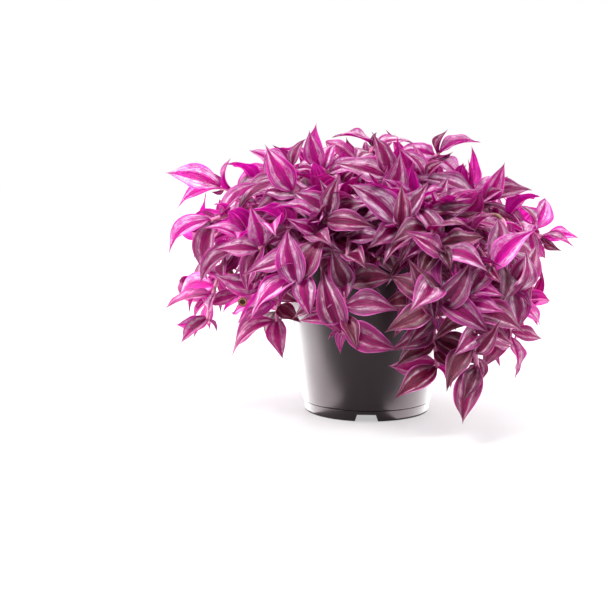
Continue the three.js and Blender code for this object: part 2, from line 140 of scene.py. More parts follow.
# Where each stem at the front ends, and the star of leaves there: for each leaf its angle in the
# upright plane that faces the viewer, its length, its lean towards the viewer, and how far below
# the tip it leaves the stem, where that isn't the usual.
FRONT_SHOOTS = (
    ((-124, -25, 192), ((165, 46, 0), (198, 45, 0), (87, 30, 35), (352, 42, 50), (24, 46, -20, 15))),
    ((-127, -60, 166), ((216, 44, 4), (261, 50, 0), (42, 43, 8), (120, 22, 45), (230, 55, -16, 12),
                        (28, 54, -5, 26))),
    ((-106, -70, 141), ((221, 40, 10), (254, 34, -35), (150, 36, 30))),
    ((-84, -100, 145), ((179, 36, 15), (104, 36, 20), (251, 42, 8), (28, 28, 30), (300, 38, -25, 10))),
    ((-83, -85, 113), ((163, 38, 5), (336, 34, 20), (200, 36, -30))),
    ((-52, -125, 119), ((101, 44, -12), (61, 42, 0), (220, 48, 8), (272, 38, 15))),
    ((-131, -60, 82), ((185, 26, 0), (222, 33, 8), (71, 24, 30), (20, 32, 0, 16))),
    ((-73, -70, 85), ((217, 46, 0), (278, 34, 5), (250, 32, -30), (330, 30, 40))),
    ((-18, -125, 84), ((107, 54, -5), (340, 47, 10), (180, 34, 10), (295, 34, 15), (112, 45, -8, 24),
                       (356, 43, 8, 21), (5, 38, -12, 38), (107, 36, 25, 36))),
    ((51, -132, 97), ((115, 50, 4), (57, 46, -4), (206, 42, 8), (330, 46, 8), (268, 24, 40),
                      (150, 40, -30, 12))),
    ((54, -105, 55), ((214, 42, 20), (187, 38, -12), (16, 40, 0), (318, 30, 40), (40, 28, -35, 8))),
    ((56, -128, 143), ((145, 36, 15), (338, 38, 12), (298, 24, 45), (252, 32, 25), (10, 38, -20, 12),
                       (124, 38, -28, 14))),
    ((94, -112, 131), ((45, 46, 8), (232, 36, 25), (76, 40, -30), (250, 38, 0, 14))),
    ((115, -75, 110), ((81, 40, 25), (60, 40, -8), (280, 42, 4), (10, 36, -30))),
    ((114, -70, 74), ((279, 34, 5), (345, 30, -20), (241, 42, 0, 10), (58, 38, 0, 14), (120, 32, 20))),
    ((82, -128, 59), ((245, 30, 25), (259, 47, 0), (290, 24, -35), (60, 36, 20, 12))),
    ((146, -30, 150), ((2, 29, 0), (345, 30, 20), (122, 34, 30), (60, 40, -40), (255, 40, 10, 14),
                       (150, 40, 0, 20))),
    ((96, -35, 181), ((65, 36, 12), (356, 52, 0), (160, 58, 5, 8), (220, 32, 35), (320, 34, 20),
                      (40, 40, -25, 12))),
    ((24, -112, 163), ((90, 36, 10), (140, 50, -5), (218, 36, 35), (52, 40, -8, 10), (5, 30, 35),
                       (322, 40, 30))),
    ((-33, -100, 167), ((355, 43, 10), (20, 42, -15), (76, 36, 20), (228, 28, 35), (150, 38, -10))),
    ((-60, -70, 190), ((120, 42, 10), (4, 36, 20), (304, 34, 40), (205, 42, 10, 8), (178, 38, -15, 12))),
    ((-67, -20, 211), ((160, 34, 0), (65, 28, -10), (338, 32, 40), (250, 36, 30))),
    ((-40, -28, 208), ((106, 32, 0), (70, 32, -35), (19, 36, 0), (300, 34, 45), (200, 36, 10))),
    ((6, 5, 228), ((166, 36, 0), (10, 36, 0), (215, 34, 40), (320, 34, 40), (90, 30, -50))),
    ((18, -45, 202), ((112, 40, 5), (165, 48, 5), (335, 44, 20), (230, 36, 40))),
    ((60, -5, 221), ((17, 36, 0), (180, 36, 10), (320, 36, 30), (120, 30, -50))),
    ((50, -40, 200), ((2, 50, 0), (130, 34, 0), (330, 38, 35), (215, 38, 35))),
    ((-30, -84, 148), ((75, 42, 5), (200, 34, 20), (285, 38, 12), (340, 36, 30))),
    ((8, -92, 138), ((60, 44, 0), (130, 44, 8), (230, 34, 25), (335, 36, 22))),
    ((44, -88, 160), ((30, 42, 12), (165, 36, 10), (255, 42, 14), (310, 36, 30))),
    ((98, 6, 156), ((70, 40, -10), (150, 38, -35), (290, 40, 10), (350, 42, 0))),
    ((116, -4, 104), ((75, 40, -20), (255, 44, 0), (310, 42, 0), (200, 38, 10))),
    ((-100, 2, 150), ((110, 40, -20), (190, 42, 0), (250, 42, 0), (30, 36, -20))),
)


@dataclass(frozen=True)
class Tier:
    """A ring of shoots at the sides and the back."""

    count: int
    start: float
    end: float
    reach: float
    height: float


@dataclass
class Seat:
    """Where a leaf stands on its stem, and the manner it was drawn."""

    base: Point
    share: float
    angle: float
    lift: float
    front: Point
    right: Point
    top: Point
    light: Point
    length: float
    roll: float
    fold: float
    bow: float
    ratio: float


@dataclass
class Blade:
    """One leaf: its base on the stem, the chord to its tip, and its form."""

    base: Point
    chord: Point
    face: Point
    fold: float
    bow: float
    ratio: float
    share: float

    @property
    def length(self) -> float:
        """The length from base to tip."""
        return float(np.linalg.norm(self.chord))

    @property
    def tip(self) -> Point:
        """The tip's place."""
        return self.base + self.chord


@dataclass
class StemCurve:
    """A stem as one cubic curve from the root in the soil to the tip."""

    controls: np.ndarray
    DIVISIONS = 200

    def at(self, shares: np.ndarray) -> np.ndarray:
        """Points at shares of the curve's own parameter.

        Args:
            shares: The shares, from 0 at the root to 1 at the tip.

        Returns:
            A point for each share.
        """
        t = np.asarray(shares, float)[:, None]
        p0, p1, p2, p3 = self.controls
        return (1 - t) ** 3 * p0 + 3 * (1 - t) ** 2 * t * p1 + 3 * (1 - t) * t**2 * p2 + t**3 * p3

    def spaced(self, shares: np.ndarray) -> np.ndarray:
        """Points at shares of the curve's length.

        Args:
            shares: The shares, from 0 at the root to 1 at the tip.

        Returns:
            A point for each share.
        """
        steps = np.linspace(0, 1, self.DIVISIONS + 1)
        points = self.at(steps)
        run = np.concatenate([[0.0], np.cumsum(np.linalg.norm(np.diff(points, axis=0), axis=1))])
        return self.at(np.interp(np.asarray(shares) * run[-1], run, steps))

    @property
    def length(self) -> float:
        """The curve's length."""
        points = self.at(np.linspace(0, 1, self.DIVISIONS + 1))
        return float(np.linalg.norm(np.diff(points, axis=0), axis=1).sum())


@dataclass
class Shoot:
    """One grown shoot: its stem and its leaves."""

    name: str
    tip: Point
    curve: StemCurve
    blades: list[Blade] = field(default_factory=list)


@dataclass
class Growth:
    """The rule that places every stem and leaf, in millimetres. Its values are the solids' own."""

    seed: int = 20240
    soil_height: float = 134
    root_depth: float = 10
    stem_step: float = 24
    stem_radius: float = 1.7
    # The leaves on a stem, and their usual form
    node_spacing: float = 19
    first_stem_leaf: float = 24
    star_spacing: float = 4.2
    shoot_leaves: int = 7
    leaf_ratio: float = 0.215
    leaf_fold: float = 24
    leaf_bow: float = 0.11
    # How a stem leaves the soil, arches over and hangs
    level_height: float = 182
    turn_per_mm: float = 0.95
    steepest_down: float = 80
    steepest_up: float = -55
    crown_height: float = 176
    crown_share: float = 0.5
    crown_lift: float = 0.25
    hangs_from: float = 20
    highest_tip: float = 230
    tip_range: float = 150
    root_inner: float = 10
    root_spread: float = 46
    root_limits: Limits = (4, 60)
    root_lean: float = 5
    rise: float = 52
    rise_per_reach: float = 0.3
    # The shoots of the tiers
    tier_star: int = 5
    tier_length: Limits = (36, 50)
    tier_lift: Limits = (-12, 28)
    bearing_play: float = 6
    reach_play: float = 8
    height_play: float = 10
    star_turn: float = 78
    star_play: float = 10
    # The manner of each leaf
    star_top: float = 0.6
    light_pull: Triple = (0.55, 0.6, 0.4)
    length_play: Limits = (0.96, 1.06)
    roll_play: Limits = (-14, 14)
    fold_play: Limits = (0.6, 1.3)
    bow_play: Limits = (0.5, 1.5)
    ratio_play: Limits = (0.88, 1.1)
    spacing_play: Limits = (0.9, 1.15)
    spacing_below_star: float = 0.8
    stem_leaf_turn: Limits = (42, 66)
    stem_leaf_length: Limits = (40, 50)
    stem_leaf_lift: Limits = (8, 26)
    stem_leaf_out: float = 0.6
    steepest_lift: float = 80
    least_light: float = 0.3
    match: float = 0.03
    tiers: tuple[Tier, ...] = (
        Tier(7, 92, 262, 140, 84),
        Tier(7, 100, 270, 145, 140),
        Tier(5, 100, 268, 112, 180),
        Tier(3, 120, 240, 60, 200),
    )
    leaf_tries: tuple[Triple, ...] = (
        (0, 0, 1), (0, 12, 1), (0, -12, 1), (10, 0, 1), (-10, 0, 1), (0, 24, 0.95), (0, -24, 0.95),
        (14, 14, 0.95), (-14, 14, 0.95), (14, -14, 0.92), (-14, -14, 0.92), (24, 0, 0.9), (-24, 0, 0.9),
        (0, 36, 0.85), (0, -36, 0.85), (30, 22, 0.85), (-30, 22, 0.85), (30, -22, 0.8), (-30, -22, 0.8),
        (0, 0, 0.72), (0, 50, 0.75), (42, 10, 0.75), (-42, 10, 0.75), (20, 20, 0.62), (-20, 20, 0.62),
        (20, -20, 0.62), (-20, -20, 0.62), (0, 0, 0.5),
    )
    stem_tries: tuple[Triple, ...] = (
        (0, 0, 0), (0, 0, 10), (5, 0, 0), (-5, 0, 0), (0, -6, 5), (6, -6, 0), (-6, -6, 0), (9, 0, 12),
        (-9, 0, 12), (0, -12, 15), (12, -6, 6), (-12, -6, 6), (14, -12, 20), (-14, -12, 20), (20, 0, 0),
        (-20, 0, 0), (20, -14, 25), (-20, -14, 25),
    )

    def curve(self, tip: Point, change: Triple) -> StemCurve:
        """The stem's curve to a tip, with the change of one try.

        Args:
            tip: Where the stem ends.
            change: Degrees round the soil, millimetres outwards at the root, millimetres higher.

        Returns:
            The curve, from root to tip.
        """
        turn, shift, lift = change
        bearing = math.degrees(math.atan2(tip[0], -tip[1]))
        reach = math.hypot(tip[0], tip[1])
        low = clamp((self.highest_tip - tip[2]) / self.tip_range, 0, 1)
        root_radius = clamp(self.root_inner + self.root_spread * low + shift, *self.root_limits)
        root = outward(bearing + turn) * root_radius
        root[2] = self.soil_height - self.root_depth
        down = clamp((self.level_height - tip[2]) * self.turn_per_mm, self.steepest_up, self.steepest_down)
        end = outward(bearing) * math.cos(radians(down)) - UP * math.sin(radians(down))
        span = math.hypot(reach - root_radius, tip[2] - root[2])
        rise = self.rise + self.rise_per_reach * (reach - root_radius) + lift
        start = root + UP * rise + outward(bearing + turn) * self.root_lean
        fall = (self.crown_height - tip[2]) / math.sin(radians(down)) if down > self.hangs_from else 0
        crown = tip + end * (-max(self.crown_share * span, fall) - self.crown_lift * lift)
        return StemCurve(np.array([root, start, crown, tip]))

    def stretches(self, curve: StemCurve) -> np.ndarray:
        """The stem as the straight stretches that carry the leaves."""
        count = math.floor(curve.length / self.stem_step + 0.5)
        return curve.spaced(np.linspace(0, 1, count + 1))

    def place(self, points: np.ndarray, distance: float) -> Optional[tuple[Point, Point, float]]:
        """The place at a distance down the stem from its tip.

        Args:
            points: The stem's stretches.
            distance: Millimetres from the tip.

        Returns:
            The point, the direction towards the tip and the share of the length from the root, or
            None past the root.
        """
        left = distance
        for i in range(len(points) - 1, 0, -1):
            stretch = points[i] - points[i - 1]
            length = float(np.linalg.norm(stretch))
            if left <= length:
                along = stretch / length
                return points[i] - along * left, along, (i - left / length) / (len(points) - 1)
            left -= length
        return None

    def plans(self, draws: Draws) -> list[tuple[Point, tuple, float]]:
        """What each shoot is to become.

        Args:
            draws: The row of numbers.

        Returns:
            For each shoot in order, its tip, the leaves of its star and the bearing that it faces.
        """
        plans = [(np.array(tip, float), leaves, 0.0) for tip, leaves in FRONT_SHOOTS]
        for tier in self.tiers:
            for i in range(tier.count):
                even = tier.start + ((tier.end - tier.start) * (i + 0.5)) / tier.count
                bearing = even + draws.between(-self.bearing_play, self.bearing_play)
                tip = outward(bearing) * (tier.reach + draws.between(-self.reach_play, self.reach_play))
                tip[2] = tier.height + draws.between(-self.height_play, self.height_play)
                angle = draws.between(0, 360)
                leaves = []
                for _ in range(self.tier_star):
                    leaves.append((angle, draws.between(*self.tier_length), draws.between(*self.tier_lift)))
                    angle += self.star_turn + draws.between(-self.star_play, self.star_play)
                plans.append((tip, tuple(leaves), bearing))
        return plans

    def seats(self, leaves: Sequence, facing: float, points: np.ndarray, draws: Draws) -> list[Seat]:
        """The seats of a shoot's leaves: the star at the tip, then single leaves down the stem.

        Args:
            leaves: The star's leaves.
            facing: The bearing that the star faces.
            points: The stem's stretches.
            draws: The row of numbers.

        Returns:
            The seats that lie on the stem.
        """
        front, right, tip = outward(facing), outward(facing + 90), points[-1]
        forwards, upwards, outwards = self.light_pull
        light = unit(front * forwards + UP * upwards + unit(np.array([tip[0], tip[1], 0.0])) * outwards)
        seats: list[Seat] = []

        def seat(distance: float, frame_of: tuple, angle: float, length: float, lift: float) -> None:
            """Draws the manner of one leaf and seats it if the stem is long enough.

            Args:
                distance: Millimetres from the tip.
                frame_of: The directions that it lies in: its front, right, top and light.
                angle: Degrees in the plane across its front.
                length: Its length before the draw.
                lift: Degrees that it leans to its front.
            """
            manner = (
                length * draws.between(*self.length_play),
                radians(draws.between(*self.roll_play)),
                radians(self.leaf_fold * draws.between(*self.fold_play)),
                self.leaf_bow * draws.between(*self.bow_play),
                self.leaf_ratio * draws.between(*self.ratio_play),
            )
            found = self.place(points, distance)
            if found:
                seats.append(Seat(found[0], found[2], angle, lift, *frame_of, *manner))

        for i, (angle, length, lift, *given) in enumerate(leaves):
            distance = given[0] if given else self.star_top + self.star_spacing * i
            seat(distance, (front, right, UP, light), angle, length, lift)
        lowest = max([leaf[3] for leaf in leaves if len(leaf) > 3], default=0)
        distance = max(self.first_stem_leaf, lowest + self.spacing_below_star * self.node_spacing)
        for i in range(len(leaves), self.shoot_leaves):
            found = self.place(points, distance)
            if found:
                point, along, _ = found
                out = unit(np.array([point[0], point[1], 0.0])) * self.stem_leaf_out + UP
                out = unit(out - along * out.dot(along))
                side = 1 if i % 2 == 0 else -1
                angle = 90 - side * draws.between(*self.stem_leaf_turn)
                length = draws.between(*self.stem_leaf_length)
                lift = draws.between(*self.stem_leaf_lift)
                seat(distance, (out, np.cross(along, out), along, out), angle, length, lift)
            distance += self.node_spacing * draws.between(*self.spacing_play)
        return seats

    def blade(self, seat: Seat, change: Triple) -> Blade:
        """The leaf that a seat gives, with the change of one try.

        Args:
            seat: Where and how it stands.
            change: Degrees of angle, degrees of lean, share of the length.

        Returns:
            The leaf.
        """
        turn, lean, scale = change
        angle = radians(seat.angle + turn)
        lift = radians(min(seat.lift + lean, self.steepest_lift))
        flat = seat.right * math.cos(angle) + seat.top * math.sin(angle)
        chord = flat * math.cos(lift) + seat.front * math.sin(lift)
        light = seat.light - chord * seat.light.dot(chord)
        if np.linalg.norm(light) < self.least_light:
            light = seat.top - chord * seat.top.dot(chord)
        light = unit(light)
        face = light * math.cos(seat.roll) + np.cross(chord, light) * math.sin(seat.roll)
        chord = chord * seat.length * scale
        return Blade(seat.base, chord, face, seat.fold, seat.bow, seat.ratio, seat.share)

    def stem_of(self, tip: Point, corners: np.ndarray) -> StemCurve:
        """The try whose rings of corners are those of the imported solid.

        Args:
            tip: Where the stem ends.
            corners: The solid's corners.

        Returns:
            The stem's curve.
        """

        def fit(curve: StemCurve) -> int:
            """How many of the solid's corners lie at the stem's radius from its stretches' ends."""
            gaps = np.linalg.norm(corners[None] - self.stretches(curve)[:, None], axis=2)
            return int((np.abs(gaps - self.stem_radius) < self.match).sum())

        return max((self.curve(tip, change) for change in self.stem_tries), key=fit)

    def leaf_of(self, seat: Seat, corners: np.ndarray) -> Optional[Blade]:
        """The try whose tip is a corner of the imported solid.

        Args:
            seat: Where and how the leaf stands.
            corners: The solid's corners.

        Returns:
            The leaf, or None for one that was left out.
        """
        for change in self.leaf_tries:
            blade = self.blade(seat, change)
            if np.linalg.norm(corners - blade.tip, axis=1).min() < self.match:
                return blade
        return None

    def shoots(self) -> list[Shoot]:
        """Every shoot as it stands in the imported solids.

        Returns:
            The shoots, in order.
        """
        draws = Draws(self.seed)
        grown = []
        for i, (tip, leaves, facing) in enumerate(self.plans(draws)):
            name = f"shoot_{i + 1:02d}"
            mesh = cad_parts[name].data
            corners = np.array([v.co for v in mesh.vertices]) / MM
            curve = self.stem_of(tip, corners)
            shoot = Shoot(name, tip, curve)
            for seat in self.seats(leaves, facing, self.stretches(curve), draws):
                blade = self.leaf_of(seat, corners)
                if blade is not None:
                    shoot.blades.append(blade)
            grown.append(shoot)
        return grown


Socket = bpy.types.NodeSocket
Stops = Sequence[tuple[float, Colour]]


class Shader:
    """A material, or the surroundings, whose nodes are added one by one."""

    def __init__(self, data: bpy.types.ID, kind: str = "Material") -> None:
        """Starts with no nodes but the output.

        Args:
            data: The material or the surroundings.
            kind: Which of the two it is, as the output's type has it.
        """
        self.data = data
        self.data.use_nodes = True
        self.tree = self.data.node_tree
        self.tree.nodes.clear()
        self.output = self.node(f"ShaderNodeOutput{kind}")

    def node(self, kind: str, inputs: Optional[dict] = None, **settings: object) -> bpy.types.Node:
        """Adds a node.

        Args:
            kind: Its type.
            inputs: What its inputs take, by their number or name.
            settings: Its own settings.

        Returns:
            The node.
        """
        node = self.tree.nodes.new(kind)
        for key, value in settings.items():
            setattr(node, key, value)
        for key, value in (inputs or {}).items():
            self.feed(node.inputs[key], value)
        return node

    def feed(self, socket: Socket, value: object) -> None:
        """Links a socket's value in, or sets it where it is a plain number or colour.

        Args:
            socket: The socket that takes the value.
            value: Another socket, a number, or a colour of three parts.
        """
        if isinstance(value, bpy.types.NodeSocket):
            self.tree.links.new(value, socket)
        elif isinstance(value, tuple) and len(value) == 3 and socket.type == "RGBA":
            socket.default_value = (*value, 1.0)
        else:
            socket.default_value = value

    def split(self, vector: Socket) -> tuple[Socket, ...]:
        """The three parts of a vector."""
        return tuple(self.node("ShaderNodeSeparateXYZ", {0: vector}).outputs)

    def join(self, *parts: object) -> Socket:
        """A vector of three parts."""
        return self.node("ShaderNodeCombineXYZ", dict(enumerate(parts))).outputs[0]

    def uv(self, name: str) -> tuple[Socket, Socket]:
        """The two coordinates of a UV map."""
        x, y, _ = self.split(self.node("ShaderNodeUVMap", uv_map=name).outputs[0])
        return x, y

    def place(self) -> Socket:
        """The place on the piece, in metres."""
        return self.node("ShaderNodeTexCoord").outputs["Object"]

    def maths(self, operation: str, *values: object, clamped: bool = False) -> Socket:
        """One sum of up to three values."""
        node = self.node("ShaderNodeMath", dict(enumerate(values)), operation=operation, use_clamp=clamped)
        return node.outputs[0]

    def times(self, first: object, second: object, clamped: bool = False) -> Socket:
        """The product of two values."""
        return self.maths("MULTIPLY", first, second, clamped=clamped)

    def plus(self, first: object, second: object, clamped: bool = False) -> Socket:
        """The sum of two values."""
        return self.maths("ADD", first, second, clamped=clamped)

    def minus(self, first: object, second: object) -> Socket:
        """The first value less the second."""
        return self.maths("SUBTRACT", first, second)

    def scaled(self, value: object, factor: object, start: object) -> Socket:
        """A value times a factor, from a start."""
        return self.maths("MULTIPLY_ADD", value, factor, start)

    def span(self, value: Socket, low: object, high: object, to_low: float = 0, to_high: float = 1) -> Socket:
        """A value carried from one range to another with soft ends."""
        inputs = dict(enumerate((value, low, high, to_low, to_high)))
        return self.node("ShaderNodeMapRange", inputs, interpolation_type="SMOOTHSTEP").outputs[0]

    def ramp(self, value: Socket, stops: Stops) -> Socket:
        """A colour ramp.

        Args:
            value: Where on the ramp the colour is read.
            stops: Each colour with its place on the ramp.

        Returns:
            The colour.
        """
        node = self.node("ShaderNodeValToRGB", {0: value})
        elements = node.color_ramp.elements
        while len(elements) < len(stops):
            elements.new(1.0)
        for element, (position, colour) in zip(elements, stops):
            element.position = position
            element.color = (*colour, 1.0)
        return node.outputs[0]

    def mix(self, share: object, first: object, second: object, blend: str = "MIX") -> Socket:
        """Two colours mixed by a share."""
        inputs = {0: share, 6: first, 7: second}
        return self.node("ShaderNodeMix", inputs, data_type="RGBA", blend_type=blend).outputs[2]

    def shaded(self, colour: Socket, shade: Socket) -> Socket:
        """A colour made darker or lighter by a factor."""
        return self.mix(1.0, colour, self.join(shade, shade, shade), "MULTIPLY")

    def noise(self, vector: Socket, scale: float, detail: float = 2, rough: float = 0.5) -> Socket:
        """A noise from 0 to 1."""
        inputs = {"Vector": vector, "Scale": scale, "Detail": detail, "Roughness": rough}
        return self.node("ShaderNodeTexNoise", inputs).outputs[0]

    def cells(self, vector: Socket, scale: float) -> Socket:
        """How far from the middle of its cell each place is."""
        return self.node("ShaderNodeTexVoronoi", {"Vector": vector, "Scale": scale}).outputs[0]

    def bump(self, height: Socket, distance: float) -> Socket:
        """A surface relief of a height in metres."""
        inputs = {"Height": height, "Distance": distance, "Strength": 1.0}
        return self.node("ShaderNodeBump", inputs).outputs[0]

    def surface(self, **inputs: object) -> Socket:
        """A principled surface, its inputs named as its sockets with _ for a space."""
        named = {key.replace("_", " "): value for key, value in inputs.items()}
        return self.node("ShaderNodeBsdfPrincipled", named).outputs[0]

    def lit_through(self, share: object, surface: Socket, glow: object, normal: Socket) -> Socket:
        """A surface that lets a share of the light behind it through, in its own colour."""
        through = self.node("ShaderNodeBsdfTranslucent", {"Color": glow, "Normal": normal}).outputs[0]
        return self.node("ShaderNodeMixShader", {0: share, 1: surface, 2: through}).outputs[0]

    def finish(self, surface: Socket) -> bpy.types.ID:
        """The finished material or surroundings."""
        self.feed(self.output.inputs[0], surface)
        return self.data


class LeafDraw(Enum):
    """What a leaf draws from its own number, and the factor that sets each draw apart."""

    SILVER_START = 7.13
    SILVER_WIDTH = 11.7
    YOUNG_WIDTH = 17.9
    SILVER_STRENGTH = 5.31
    GREY_STRENGTH = 3.77
    RIM_STRENGTH = 23.3
    SHADE = 13.7


@dataclass(frozen=True)
class LeafColours:
    """The colours of a blade's upper face at one age, and of the light that shines through it; the old set
    also paints shade, the young set light.
    """

    midrib: Colour
    inner: Colour
    outer: Colour
    margin: Colour
    silver: Colour
    grey: Colour
    glow: Colour

    @property
    def bands(self) -> Stops:
        """The blade's ground from the midrib outwards."""
        colours = (self.midrib, self.midrib, self.inner, self.inner, self.outer)
        return tuple(zip((0.0, 0.05, 0.12, 0.40, 0.66), colours))


@dataclass(frozen=True)
class LeafFinish:
    """A blade's upper face: a maroon middle, streaked silver beside it and a pink margin."""

    # Painted light and shade: the darker old colours also serve as a shaded leaf, the lighter young ones as a
    # lit leaf
    old: LeafColours = LeafColours(
        midrib=srgb(76, 5, 38), inner=srgb(112, 7, 56), outer=srgb(108, 9, 60),
        margin=srgb(196, 58, 148), silver=srgb(222, 186, 206), grey=srgb(130, 99, 105),
        glow=srgb(213, 18, 132),
    )
    young: LeafColours = LeafColours(
        midrib=srgb(150, 14, 96), inner=srgb(184, 18, 134), outer=srgb(172, 28, 138),
        margin=srgb(236, 92, 206), silver=srgb(232, 198, 226), grey=srgb(222, 166, 213),
        glow=srgb(255, 66, 236),
    )
    rim: Colour = srgb(236, 150, 217)
    through_old: float = 0.26
    through_young: float = 0.66
    silver_start: Limits = (0.32, 0.48)
    silver_width: Limits = (0.0, 0.07)
    young_width: Limits = (0.05, 0.60)
    silver_strength: Limits = (0.34, 0.98)
    grey_strength: Limits = (0.05, 1.15)
    rim_strength: Limits = (0.25, 0.95)
    shade: Limits = (0.62, 1.12)

    def drawn(self, s: Shader, chance: Socket, draw: LeafDraw, limits: Limits) -> Socket:
        """A number between two limits that a leaf draws from its own number."""
        low, high = limits
        return s.scaled(s.maths("FRACT", s.times(chance, draw.value)), high - low, low)

    def stripes(self, s: Shader, out: Socket, along: Socket, chance: Socket, youth_and_light: Socket,
                signed: Socket) -> tuple[Socket, Socket, Socket]:
        """The shares of silver and of grey over a blade, and its fine streaks.

        Args:
            s: The shader.
            out: How far from the midrib, from 0 to 1, with a slow wander.
            along: How far along the blade.
            chance: The leaf's own number.
            youth_and_light: How young the leaf is, and partly how lit it is painted, from 0 to 1.
            signed: How far across, from -1 to 1.

        Returns:
            The silver, the grey and the streaks.
        """
        # Fine and broad streaks along the blade, and gaps in them
        seed = s.times(chance, 40.0)
        lengthwise = s.times(along, 1.5)
        streak = s.noise(s.join(s.times(signed, 8.0), lengthwise, seed), 2.2, 3, 0.6)
        fine = s.noise(s.join(s.times(signed, 26.0), lengthwise, seed), 2.2, 3, 0.6)
        broken = s.noise(s.join(signed, s.times(along, 3.0), seed), 3.2, 3, 0.6)
        # The silver band, wider and stronger on a young leaf and on one painted as lit
        start = self.drawn(s, chance, LeafDraw.SILVER_START, self.silver_start)
        start = s.minus(start, s.times(youth_and_light, 0.08))
        width = self.drawn(s, chance, LeafDraw.SILVER_WIDTH, self.silver_width)
        young_width = self.drawn(s, chance, LeafDraw.YOUNG_WIDTH, self.young_width)
        end = s.plus(start, s.plus(width, s.times(youth_and_light, young_width)))
        rise = s.span(out, s.minus(start, 0.11), s.plus(start, 0.03))
        fall = s.span(out, s.minus(end, 0.02), s.plus(end, 0.20), 1.0, 0.0)
        strength = self.drawn(s, chance, LeafDraw.SILVER_STRENGTH, self.silver_strength)
        strength = s.plus(strength, s.times(youth_and_light, 0.6))
        silver = s.times(s.times(rise, fall), strength, clamped=True)
        silver = s.times(silver, s.span(streak, 0.36, 0.60, 0.25, 1.0))
        silver = s.times(silver, s.span(broken, 0.36, 0.58, 0.25, 1.0))
        # The grey band, from where the silver starts almost to the margin
        band = s.times(s.span(out, start, s.plus(start, 0.10)), s.span(out, 0.70, 0.95, 1.0, 0.0))
        lines = s.times(s.span(streak, 0.40, 0.60), s.span(fine, 0.34, 0.60, 0.3, 1.0))
        grey = self.drawn(s, chance, LeafDraw.GREY_STRENGTH, self.grey_strength)
        grey = s.times(s.times(s.times(band, lines), grey), s.scaled(youth_and_light, 0.9, 1.0), clamped=True)
        # Both fade towards the base and the tip, and silver threads run over the blade
        ends = s.times(s.span(along, 0.0, 0.16), s.span(along, 0.88, 1.0, 1.0, 0.4))
        silver = s.times(silver, ends)
        threads = s.times(s.span(fine, 0.58, 0.74), s.span(out, 0.05, 0.9, 0.30, 0.12))
        return s.maths("MAXIMUM", silver, threads), s.times(grey, ends), fine

    def material(self) -> bpy.types.Material:
        """The finish as a material.

        Returns:
            The material.
        """
        s = Shader(bpy.data.materials.new("leaf_upper"))
        across, along = s.uv("leaf")
        chance, youth_and_light = s.uv("tone")
        signed = s.scaled(across, 2.0, -1.0)
        seed = s.times(chance, 53.0)
        wander = s.noise(s.join(s.times(signed, 0.9), along, seed), 2.4, 3)
        apart = s.maths("ABSOLUTE", signed)
        out = s.plus(apart, s.scaled(wander, 0.44, -0.22), clamped=True)
        silver, grey, fine = self.stripes(s, out, along, chance, youth_and_light, signed)
        # The colours, one over the other; youth_and_light mixes the darker old colours, as painted shade,
        # with the lighter young ones, as painted light
        edge = s.span(apart, 0.78, 1.0)
        old, young = self.old, self.young
        colour = s.mix(youth_and_light, s.ramp(apart, old.bands), s.ramp(apart, young.bands))
        colour = s.mix(grey, colour, s.mix(youth_and_light, old.grey, young.grey))
        colour = s.mix(silver, colour, s.mix(youth_and_light, old.silver, young.silver))
        colour = s.mix(s.times(edge, 0.7), colour, s.mix(youth_and_light, old.margin, young.margin))
        pale = self.drawn(s, chance, LeafDraw.RIM_STRENGTH, self.rim_strength)
        colour = s.mix(s.times(s.span(apart, 0.90, 1.0), pale), colour, self.rim)
        # Lighter and darker leaves, patches and streaks
        patch = s.noise(s.join(signed, s.times(along, 2.0), seed), 3.0, 4, 0.6)
        shade = self.drawn(s, chance, LeafDraw.SHADE, self.shade)
        shade = s.times(shade, s.span(fine, 0.2, 0.8, 0.80, 1.16))
        shade = s.times(shade, s.span(patch, 0.3, 0.7, 0.70, 1.22))
        colour = s.shaded(colour, shade)
        # Relief, gloss and the light that shines through
        veins = s.times(s.maths("COSINE", s.times(apart, 44.0)), 0.4)
        relief = s.plus(s.plus(veins, s.times(fine, 1.5)), s.times(patch, 6.0))
        normal = s.bump(relief, 0.00016)
        rough = s.minus(s.span(fine, 0.2, 0.8, 0.28, 0.42), s.times(silver, 0.08))
        surface = s.surface(Base_Color=colour, Roughness=rough, Normal=normal, Specular_IOR_Level=0.4)
        spread = self.through_young - self.through_old
        through = s.scaled(youth_and_light, spread, self.through_old)
        through = s.times(through, s.scaled(silver, -0.75, 1.0))
        glow = s.mix(0.42, s.mix(youth_and_light, old.glow, young.glow), colour)
        return s.finish(s.lit_through(through, surface, glow, normal))


